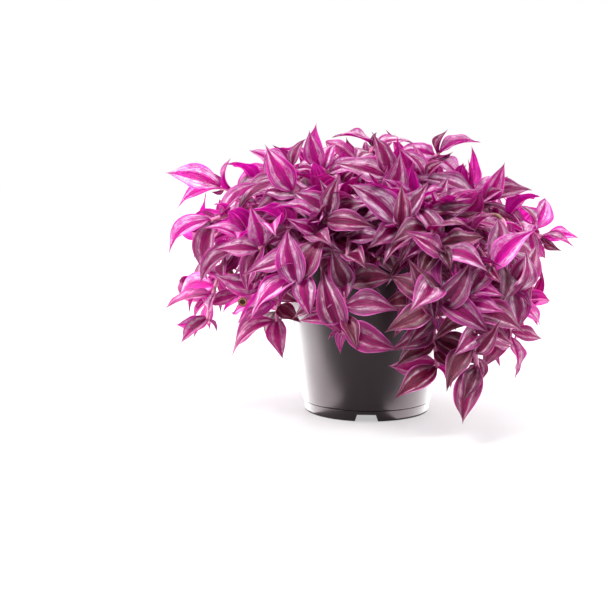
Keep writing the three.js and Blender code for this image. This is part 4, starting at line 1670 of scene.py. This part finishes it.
@dataclass(frozen=True)
class OddStem:
    """A bare stem that leaves a shoot: one that arches over, or one that was cut off."""

    name: str
    shoot: str
    share: float
    swing: Triple
    bend: Triple
    tip: Triple
    radius: float
    cut: bool = False
    points: int = 40
    # The sheath at each node
    nodes: tuple[float, ...] = (0.62,)
    sleeve: float = 8.0
    sleeve_start: float = 0.8
    sleeve_fade: float = 2.0
    swell: float = 0.45
    # The cut end: a collar that flares to a rim round a hollow
    collar: float = 8.0
    collar_wrap: float = 1.6
    flare: float = 0.7
    rim: float = 3.8
    hollow: float = 1.8
    hollow_depths: tuple[float, ...] = (0.0, 0.35, 1.0)
    hollow_insets: tuple[float, ...] = (0.6, 1.3, 1.9)
    heart: tuple[float, ...] = (0.0, 0.4, 1.0)
    number: float = 0.37

    def build(self, shoot: Shoot, form: StemForm, materials: Materials) -> None:
        """Builds and dresses the stem.

        Args:
            shoot: The shoot that it leaves.
            form: How stems are made.
            materials: The stem's skin and its cut end.
        """
        start = shoot.curve.spaced(np.array([self.share]))[0]
        curve = StemCurve(np.array([start, self.swing, self.bend, self.tip], float))
        points = curve.spaced(np.linspace(0, 1, self.points))
        along, first, second = form.frames(points)
        run = np.linspace(0, curve.length, self.points)
        wrapped = np.zeros(len(run))
        for share in self.nodes:
            past = run - share * curve.length
            fading = np.clip((self.sleeve - past) / self.sleeve_fade, 0, 1)
            wrapped = np.maximum(wrapped, np.clip(past / self.sleeve_start, 0, 1) * fading)
        radius = self.radius + self.swell * wrapped
        skin_faces = (len(points) - 1) * form.sides
        if self.cut:
            left = (curve.length - run) / self.collar
            radius = self.radius + (self.rim - self.radius) * np.clip(1 - left, 0, 1) ** self.flare
            wrapped = np.clip(self.collar_wrap - left, 0, 1)
            inner = len(self.hollow_depths)
            inward = np.array(self.hollow_depths)[:, None] * self.hollow * along[-1]
            points = np.vstack([points, points[-1] - inward])
            first = np.vstack([first, np.repeat(first[-1:], inner, axis=0)])
            second = np.vstack([second, np.repeat(second[-1:], inner, axis=0)])
            radius = np.concatenate([radius, self.rim - np.array(self.hollow_insets)])
            run = np.concatenate([run, self.heart])
            wrapped = np.concatenate([wrapped, np.zeros(inner)])
        body, faces = form.tube(points, first, second, radius)
        sides = [0] * len(faces)
        if self.cut:
            sides[skin_faces:] = [1] * (len(faces) - skin_faces)
            sides[-2] = 0  # the end inside the shoot
        stem, tone = form.marks(run, wrapped, self.number)
        shell = Shell()
        shell.add(body, faces, sides, stem=stem, tone=tone)
        piece = shell.piece(f"{shoot.name}_{self.name}_stem", materials)
        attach(piece, "root")
        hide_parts(shoot.name)
        LOG.info("%s: a stem, %s", shoot.name, self.name)


@dataclass
class YoungLeaves:
    """The young leaves, still folded, in the middle of a star: a longer one and a shorter one."""

    lengths: tuple[Limits, ...] = ((18, 28), (11, 17))
    lean: Limits = (0.3, 0.7)
    further_lean: float = 0.35
    rise: float = 0.25
    face_up: float = 0.1
    sunk: float = 1.5
    further_sunk: float = 2
    fold: float = 36
    bow: float = 0.12
    ratio: float = 0.23
    stem_end: float = 0.97
    own_share: float = 0.35
    tries: int = 40
    # The young leaves' youth_and_light, which also sets how lit they are painted
    youth_and_light: Limits = (0.15, 0.65)

    def offer(self, shoot: Shoot, number: int, chance: Chance) -> Blade:
        """A young leaf that could stand in the star.

        Args:
            shoot: The shoot.
            number: 0 for the longer leaf and 1 for the shorter.
            chance: Where its manner is drawn from.

        Returns:
            The leaf.
        """
        ends = shoot.curve.spaced(np.array([self.stem_end, 1.0]))
        along = unit(ends[1] - ends[0])
        side = unit(np.cross(along, unit(UP + outward(chance.uniform(0, 360)))))
        lean = chance.uniform(*self.lean) + self.further_lean * number
        length = chance.uniform(*self.lengths[number])
        chord = unit(along + side * lean + UP * self.rise) * length
        face = unit(np.cross(chord, np.cross(side, chord)) + UP * self.face_up)
        face = unit(face - chord * face.dot(chord) / length**2)
        base = shoot.tip - along * (self.sunk + self.further_sunk * number)
        return Blade(base, chord, face, radians(self.fold), self.bow, self.ratio, 1.0)

    def grow(self, shoot: Shoot, inner: InnerLeaves, chance: Chance) -> list[Blade]:
        """Seats the young leaves of a shoot, as far as they fit.

        Args:
            shoot: The shoot.
            inner: The inner leaves, which know the room that is left.
            chance: Where their manner is drawn from.

        Returns:
            The leaves.
        """
        leaves = []
        for number in range(len(self.lengths)):
            for _ in range(self.tries):
                blade = self.offer(shoot, number, chance)
                if inner.seated(blade, self.own_share):
                    leaves.append(blade)
                    break
        return leaves


@dataclass
class Plant:
    """The leafy shoots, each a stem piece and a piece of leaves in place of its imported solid."""

    seed: int = 7
    blades: BladeForm = field(default_factory=BladeForm)
    inner_blades: BladeForm = field(default_factory=lambda: BladeForm(rows=14, columns=8))
    inner: InnerLeaves = field(default_factory=InnerLeaves)
    young: YoungLeaves = field(default_factory=YoungLeaves)
    stems: StemForm = field(default_factory=StemForm)
    odd_stems: tuple[OddStem, ...] = (
        OddStem("cut", "shoot_07", 0.70, (-110, -52, 120), (-98, -70, 107.5), (-98.6, -83.5, 102.6), 2.1,
                cut=True),
        OddStem("arched", "shoot_14", 0.60, (90, -80, 176), (110, -94, 180), (105, -86, 146), 1.3),
    )
    # Painted light: youth_and_light is partly age and partly how lit a leaf is painted; high and outer leaves
    # read lighter, low front ones darker
    low: float = 95
    high: float = 240
    height_youth_and_light: float = 0.78
    # The middle lies right of the axis, so that leaves on the left are painted lighter, as if lit from the
    # left
    middle: float = 15
    depth_share: float = 0.6
    near: float = 75
    far: float = 125
    side_youth_and_light: float = 0.55
    youth_play: Limits = (-0.30, 0.42)

    def tone(self, blade: Blade, chance: Chance) -> Tone:
        """What a leaf's colours read: the upper leaves and those at the sides are young, pink and painted as
        lit.

        Args:
            blade: The leaf.
            chance: Where its tone is drawn from.

        Returns:
            Its own number and its youth_and_light, which is partly its age and partly painted light and
            shade.
        """
        middle = blade.base + blade.chord * 0.5
        reach = math.hypot(middle[0] - self.middle, self.depth_share * middle[1])
        # Painted light and shade: higher and farther out makes a leaf lighter and pinker
        youth_and_light = self.height_youth_and_light * ease(middle[2], self.low, self.high)
        youth_and_light += self.side_youth_and_light * ease(reach, self.near, self.far)
        youth_and_light += chance.uniform(*self.youth_play)
        return float(chance.uniform()), clamp(youth_and_light, 0.0, 1.0)

    def build(self) -> None:
        """Builds and dresses every shoot."""
        upper, under = LeafFinish().material(), UndersideFinish().material()
        skin = StemFinish().material()
        shoots = Growth().shoots()
        further = self.inner.grow(shoots)
        for number, shoot in enumerate(shoots):
            chance = np.random.default_rng(self.seed + number)
            stem = Shell()
            self.stems.grow(stem, shoot, further[shoot.name], chance)
            leaves = Shell()
            for blade in shoot.blades:
                self.blades.grow(leaves, blade, self.tone(blade, chance), chance)
            for blade in further[shoot.name]:
                self.inner_blades.grow(leaves, blade, self.tone(blade, chance), chance)
            young = self.young.grow(shoot, self.inner, chance)
            for blade in young:
                tone = (float(chance.uniform()), float(chance.uniform(*self.young.youth_and_light)))
                self.blades.grow(leaves, blade, tone, chance)
            for part, shell, materials in (("stem", stem, (skin,)), ("leaves", leaves, (upper, under))):
                piece = shell.piece(f"{shoot.name}_{part}", materials)
                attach(piece, "root")
                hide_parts(shoot.name)
            LOG.info("%s: %d leaves, %d inner ones and %d young ones", shoot.name, len(shoot.blades),
                     len(further[shoot.name]), len(young))
        wood = CutFinish().material()
        for odd in self.odd_stems:
            odd.build(next(shoot for shoot in shoots if shoot.name == odd.shoot), self.stems, (skin, wood))


@dataclass
class Pot:
    """The nursery pot, in millimetres: the solid's own sizes, with rounded edges."""

    height: float = 150
    base_radius: float = 54.3
    rim_radius: float = 75.5
    wall: float = 1.6
    band_height: float = 13.5
    band_step: float = 1.5
    foot_height: float = 9.5
    foot_inset: float = 0.8
    ring_width: float = 6
    lift: float = 4
    thickness: float = 1.8
    round: float = 0.45
    round_share: float = 0.45
    flat: float = 2.7
    crease: float = 35
    segments: int = 144
    notches: int = 3
    notch_bottom: float = 20
    notch_top: float = 15
    notch_height: float = 6.4
    notch_depth: float = 16
    groove: float = 0.7
    bead: float = 0.5
    drains: int = 5
    drain_radius: float = 4
    drain_circle: float = 30
    drain_sides: int = 24

    def radius(self, height: float) -> float:
        """The outer radius of the wall at a height, without the rim band."""
        top = self.rim_radius - self.band_step
        return self.base_radius + (top - self.base_radius) * height / self.height

    def corners(self) -> list[tuple[float, float]]:
        """The profile's corners.

        Returns:
            Each corner's radius and height, from the axis under the base and round to it.
        """
        bottom = self.height - self.band_height
        floor = self.lift + self.thickness
        ring = self.base_radius - self.foot_inset
        foot = self.radius(self.foot_height)
        band = self.radius(bottom) + self.band_step
        return [
            (0, self.lift),
            (ring - self.ring_width, self.lift),
            (ring - self.ring_width, 0),
            (ring, 0),
            (foot - self.foot_inset, self.foot_height - self.groove),
            (foot - self.foot_inset - self.groove, self.foot_height - self.groove / 2),
            (foot - self.foot_inset - self.groove, self.foot_height),
            (foot, self.foot_height),
            (self.radius(bottom), bottom),
            (band + self.bead, bottom),
            (band + self.bead, bottom + 3 * self.bead),
            (band, bottom + 5 * self.bead),
            (self.rim_radius, self.height),
            (self.radius(self.height) - self.wall, self.height),
            (self.radius(floor) - self.wall, floor),
            (0, floor),
        ]

    def profile(self) -> list[tuple[float, float]]:
        """The same profile with each corner rounded by two short facets.

        Returns:
            Each point's radius and height, with further points that keep the flats flat.
        """
        corners = [np.array(c, float) for c in self.corners()]
        points = [corners[0]]
        for before, corner, after in zip(corners, corners[1:], corners[2:]):
            back, on = np.linalg.norm(corner - before), np.linalg.norm(after - corner)
            room = min(self.round, self.round_share * back, self.round_share * on)
            start = corner + unit(before - corner) * room
            end = corner + unit(after - corner) * room
            if back > self.flat:
                points.append(start + unit(before - corner) * self.round)
            points.extend([start, corner * 0.5 + (start + end) * 0.25, end])
            if on > self.flat:
                points.append(end + unit(after - corner) * self.round)
        points.append(corners[-1])
        return [(float(x), float(z)) for x, z in points]

    def shell(self) -> bpy.types.Mesh:
        """The pot before its notches and drains are cut.

        Returns:
            The mesh, in metres.
        """
        form = bmesh.new()
        rings = []
        for radius, height in self.profile():
            if radius == 0:
                rings.append([form.verts.new((0, 0, height * MM))])
                continue
            ring = []
            for k in range(self.segments):
                angle = 2 * math.pi * k / self.segments
                x, y = radius * MM * math.cos(angle), radius * MM * math.sin(angle)
                ring.append(form.verts.new((x, y, height * MM)))
            rings.append(ring)
        for first, second in zip(rings, rings[1:]):
            for k in range(self.segments):
                n = (k + 1) % self.segments
                low, high = len(first), len(second)
                quad = [first[k % low], first[n % low], second[n % high], second[k % high]]
                form.faces.new(list(dict.fromkeys(quad)))
        bmesh.ops.recalc_face_normals(form, faces=form.faces)
        mesh = bpy.data.meshes.new("pot_shell")
        form.to_mesh(mesh)
        form.free()
        return mesh

    def cutters(self) -> bpy.types.Object:
        """The notches and drains.

        Returns:
            One object to cut away.
        """
        form = bmesh.new()
        for k in range(self.notches):
            turn = Euler((0, 0, 2 * math.pi * k / self.notches)).to_matrix()
            outline = ((-self.notch_bottom / 2, -1), (self.notch_bottom / 2, -1),
                       (self.notch_top / 2, self.notch_height), (-self.notch_top / 2, self.notch_height))
            loops = []
            for y in (-self.base_radius - self.notch_depth / 2, -self.base_radius + self.notch_depth / 2):
                loops.append([form.verts.new(turn @ Vector((x * MM, y * MM, z * MM))) for x, z in outline])
            form.faces.new(loops[0])
            form.faces.new(loops[1][::-1])
            for j in range(4):
                i = (j + 1) % 4
                form.faces.new((loops[0][i], loops[0][j], loops[1][j], loops[1][i]))
        for k in range(self.drains):
            angle = math.pi / 2 + 2 * math.pi * k / self.drains
            x, y = self.drain_circle * math.cos(angle), self.drain_circle * math.sin(angle)
            made = bmesh.ops.create_cone(
                form, cap_ends=True, segments=self.drain_sides, radius1=self.drain_radius * MM,
                radius2=self.drain_radius * MM, depth=4 * self.thickness * MM)
            middle = (x * MM, y * MM, (self.lift + self.thickness / 2) * MM)
            bmesh.ops.translate(form, verts=made["verts"], vec=middle)
        bmesh.ops.recalc_face_normals(form, faces=form.faces)
        mesh = bpy.data.meshes.new("pot_cutters")
        form.to_mesh(mesh)
        form.free()
        return placed("pot_cutters", mesh)

    def build(self) -> None:
        """Builds and dresses the pot."""
        piece = placed("pot_moulding", self.shell())
        cutters = self.cutters()
        cut = piece.modifiers.new("cut", "BOOLEAN")
        cut.operation = "DIFFERENCE"
        cut.solver = "EXACT"
        cut.object = cutters
        cut_mesh = bpy.data.meshes.new_from_object(piece.evaluated_get(bpy.context.evaluated_depsgraph_get()))
        piece.modifiers.clear()
        piece.data = cut_mesh
        cut_mesh.name = "pot_moulding"
        bpy.data.objects.remove(cutters)
        soften(cut_mesh, self.crease)
        cut_mesh.materials.clear()
        cut_mesh.materials.append(PlasticFinish().material())
        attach(piece, "root")
        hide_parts("pot")
        LOG.info("pot: %d faces", len(cut_mesh.polygons))


def soften(mesh: bpy.types.Mesh, angle: float) -> None:
    """Shades a mesh smooth, apart from its sharp edges.

    Args:
        mesh: The mesh.
        angle: The angle in degrees from which an edge is sharp.
    """
    form = bmesh.new()
    form.from_mesh(mesh)
    for face in form.faces:
        face.smooth = True
    for edge in form.edges:
        edge.smooth = len(edge.link_faces) == 2 and edge.calc_face_angle(0.0) < radians(angle)
    form.to_mesh(mesh)
    form.free()


@dataclass
class Soil:
    """The soil in the pot: an uneven top with crumbs of bark on it."""

    height: float = 134
    radius: float = 69.5
    floor: float = 6.6
    floor_radius: float = 52.8
    rings: int = 44
    segments: int = 120
    sunk: float = 0.5
    waves: tuple[float, ...] = (46, 30, 19, 12, 8, 5.5, 4)
    waves_each: int = 4
    steepness: float = 0.0176
    crumbs: int = 420
    crumb_size: Limits = (0.8, 2.6)
    crumb_form: Limits = (0.6, 1.25)
    crumb_stretch: Limits = (0.5, 1.2)
    crumb_lift: float = 0.2
    crumb_edge: float = 4
    seed: int = 11

    def top(self, x: np.ndarray, y: np.ndarray) -> np.ndarray:
        """The height of the surface.

        Args:
            x: Places to the right.
            y: Places to the back.

        Returns:
            The height at each, in millimetres.
        """
        chance = np.random.default_rng(self.seed)
        height = np.full_like(x, self.height - self.sunk)
        for wave in self.waves:
            for _ in range(self.waves_each):
                angle, phase = chance.uniform(0, 2 * np.pi, 2)
                across = x * np.cos(angle) + y * np.sin(angle)
                height = height + self.steepness * wave * np.sin(2 * np.pi * across / wave + phase)
        return height

    def body(self, shell: Shell) -> None:
        """Adds the filling, from the pot's floor to its uneven top.

        Args:
            shell: What it is added to.
        """
        angle = np.linspace(0, 2 * np.pi, self.segments, endpoint=False)
        rings = []
        for k in range(1, self.rings + 1):
            r = self.radius * k / self.rings
            x, y = r * np.cos(angle), r * np.sin(angle)
            rings.append(np.stack([x, y, self.top(x, y)], axis=1))
        x, y = self.floor_radius * np.cos(angle), self.floor_radius * np.sin(angle)
        rings.append(np.stack([x, y, np.full_like(x, self.floor)], axis=1))
        middle = np.array([[0, 0, float(self.top(np.zeros(1), np.zeros(1))[0])], [0, 0, self.floor]])
        points = np.vstack([*rings, middle])
        n, last = self.segments, len(rings) - 1
        faces = []
        for j in range(n):
            i = (j + 1) % n
            faces.append((len(points) - 2, j, i))
            faces.append((len(points) - 1, last * n + i, last * n + j))
            for k in range(last):
                faces.append((k * n + j, (k + 1) * n + j, (k + 1) * n + i, k * n + i))
        shell.add(points, faces, [0] * len(faces))

    def scatter(self, shell: Shell) -> None:
        """Adds the crumbs, each a small uneven lump half sunk in the top.

        Args:
            shell: What they are added to.
        """
        chance = np.random.default_rng(self.seed + 1)
        form = bmesh.new()
        bmesh.ops.create_icosphere(form, subdivisions=1, radius=1.0)
        lump = np.array([v.co for v in form.verts])
        faces = [tuple(v.index for v in f.verts) for f in form.faces]
        form.free()
        for _ in range(self.crumbs):
            r = (self.radius - self.crumb_edge) * math.sqrt(chance.uniform())
            turn = chance.uniform(0, 2 * math.pi)
            x, y = r * math.cos(turn), r * math.sin(turn)
            size = chance.uniform(*self.crumb_size)
            form_of = chance.uniform(*self.crumb_form, (len(lump), 1))
            shape = lump * form_of * (size * chance.uniform(*self.crumb_stretch, 3))
            height = float(self.top(np.array([x]), np.array([y]))[0])
            shell.add(shape + np.array([x, y, height + self.crumb_lift * size]), faces, [0] * len(faces))

    def build(self) -> None:
        """Builds and dresses the soil."""
        shell = Shell()
        self.body(shell)
        self.scatter(shell)
        piece = shell.piece("soil_filling", (SoilFinish().material(),))
        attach(piece, "root")
        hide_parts("soil")
        LOG.info("soil: %d faces", len(piece.data.polygons))


@dataclass(frozen=True)
class SoftBox:
    """A soft light, in metres and watts, that faces a point."""

    name: str
    place: Triple
    width: float
    height: float
    power: float
    aim: Triple = (0.0, 0.0, 0.16)

    def build(self) -> None:
        """Adds the light to the studio, unseen by the camera."""
        data = bpy.data.lights.new(self.name, "AREA")
        data.shape = "RECTANGLE"
        data.size = self.width
        data.size_y = self.height
        data.energy = self.power
        light = placed(self.name, data)
        light.location = self.place
        light.visible_camera = False
        light.rotation_euler = (Vector(self.place) - Vector(self.aim)).to_track_quat("Z", "Y").to_euler()


@dataclass
class Studio:
    """The white floor, the soft lights and the camera."""

    eye: Triple = (0.0, -0.900, 0.202)
    pitch: float = 7.2
    yaw: float = 3.3
    focal: float = 1044
    frame_size: float = 615
    nearest: float = 0.01
    floor_half: float = 12.0
    floor_drop: float = 0.0002
    front_light: float = 0.18
    back_light: float = 0.65
    turnover: float = 0.7
    lights: tuple[SoftBox, ...] = (
        SoftBox("key", (-0.6, -1.0, 1.5), 0.6, 0.6, 42),
        SoftBox("left_box", (-0.9, 0.05, 0.58), 1.1, 1.1, 18, (0.0, 0.05, 0.50)),
        SoftBox("right_box", (0.9, 0.10, 0.58), 1.1, 1.1, 18, (0.0, 0.10, 0.50)),
        # Two cards that lie beside the pot, for its wall to mirror
        SoftBox("left_card", (-0.2225, 0.1025, 0.0015), 0.355, 0.375, 3.1, (-0.2225, 0.1025, 1.0)),
        SoftBox("right_card", (0.2125, 0.109, 0.0015), 0.375, 0.362, 2.9, (0.2125, 0.109, 1.0)),
        SoftBox("back_box", (0.1, 1.3, 1.0), 1.2, 1.2, 21),
        SoftBox("top", (0.1, 0.2, 1.6), 0.7, 0.7, 21),
    )

    def floor(self) -> None:
        """Lays the floor."""
        form = bmesh.new()
        bmesh.ops.create_grid(form, x_segments=1, y_segments=1, size=self.floor_half)
        bmesh.ops.translate(form, verts=form.verts, vec=(0, 0, -self.floor_drop))
        mesh = bpy.data.meshes.new("floor")
        form.to_mesh(mesh)
        form.free()
        mesh.materials.append(FloorFinish().material())
        placed("floor", mesh)

    def surroundings(self) -> bpy.types.World:
        """A white studio, whose light is stronger behind the plant than on the viewer's side.

        Returns:
            The surroundings.
        """
        s = Shader(bpy.data.worlds.new("studio"), "World")
        _, towards_back, _ = s.split(s.node("ShaderNodeTexCoord").outputs["Generated"])
        light = s.span(towards_back, -self.turnover, self.turnover, self.front_light, self.back_light)
        seen = s.node("ShaderNodeLightPath").outputs["Is Camera Ray"]
        strength = s.node("ShaderNodeMix", {0: seen, 2: light, 3: 1.0}).outputs[0]
        shine = s.node("ShaderNodeBackground", {"Color": (1.0, 1.0, 1.0), "Strength": strength})
        return s.finish(shine.outputs[0])

    def build(self) -> None:
        """Sets up the floor, lights, surroundings and camera."""
        self.floor()
        for light in self.lights:
            light.build()
        scene = bpy.context.scene
        scene.world = self.surroundings()
        scene.view_settings.view_transform = "Standard"
        camera = placed("camera", bpy.data.cameras.new("camera"))
        camera.data.angle = 2 * math.atan(self.frame_size / 2 / self.focal)
        camera.location = self.eye
        camera.rotation_euler = (radians(90 - self.pitch), 0, radians(self.yaw))
        camera.data.clip_start = self.nearest
        scene.camera = camera


def main() -> None:
    """Builds the pot, the soil, the plant and the studio."""
    for part in (Pot(), Soil(), Plant(), Studio()):
        part.build()


if __name__ == "__main__":
    logging.basicConfig(level=logging.INFO, format="%(message)s")
    main()
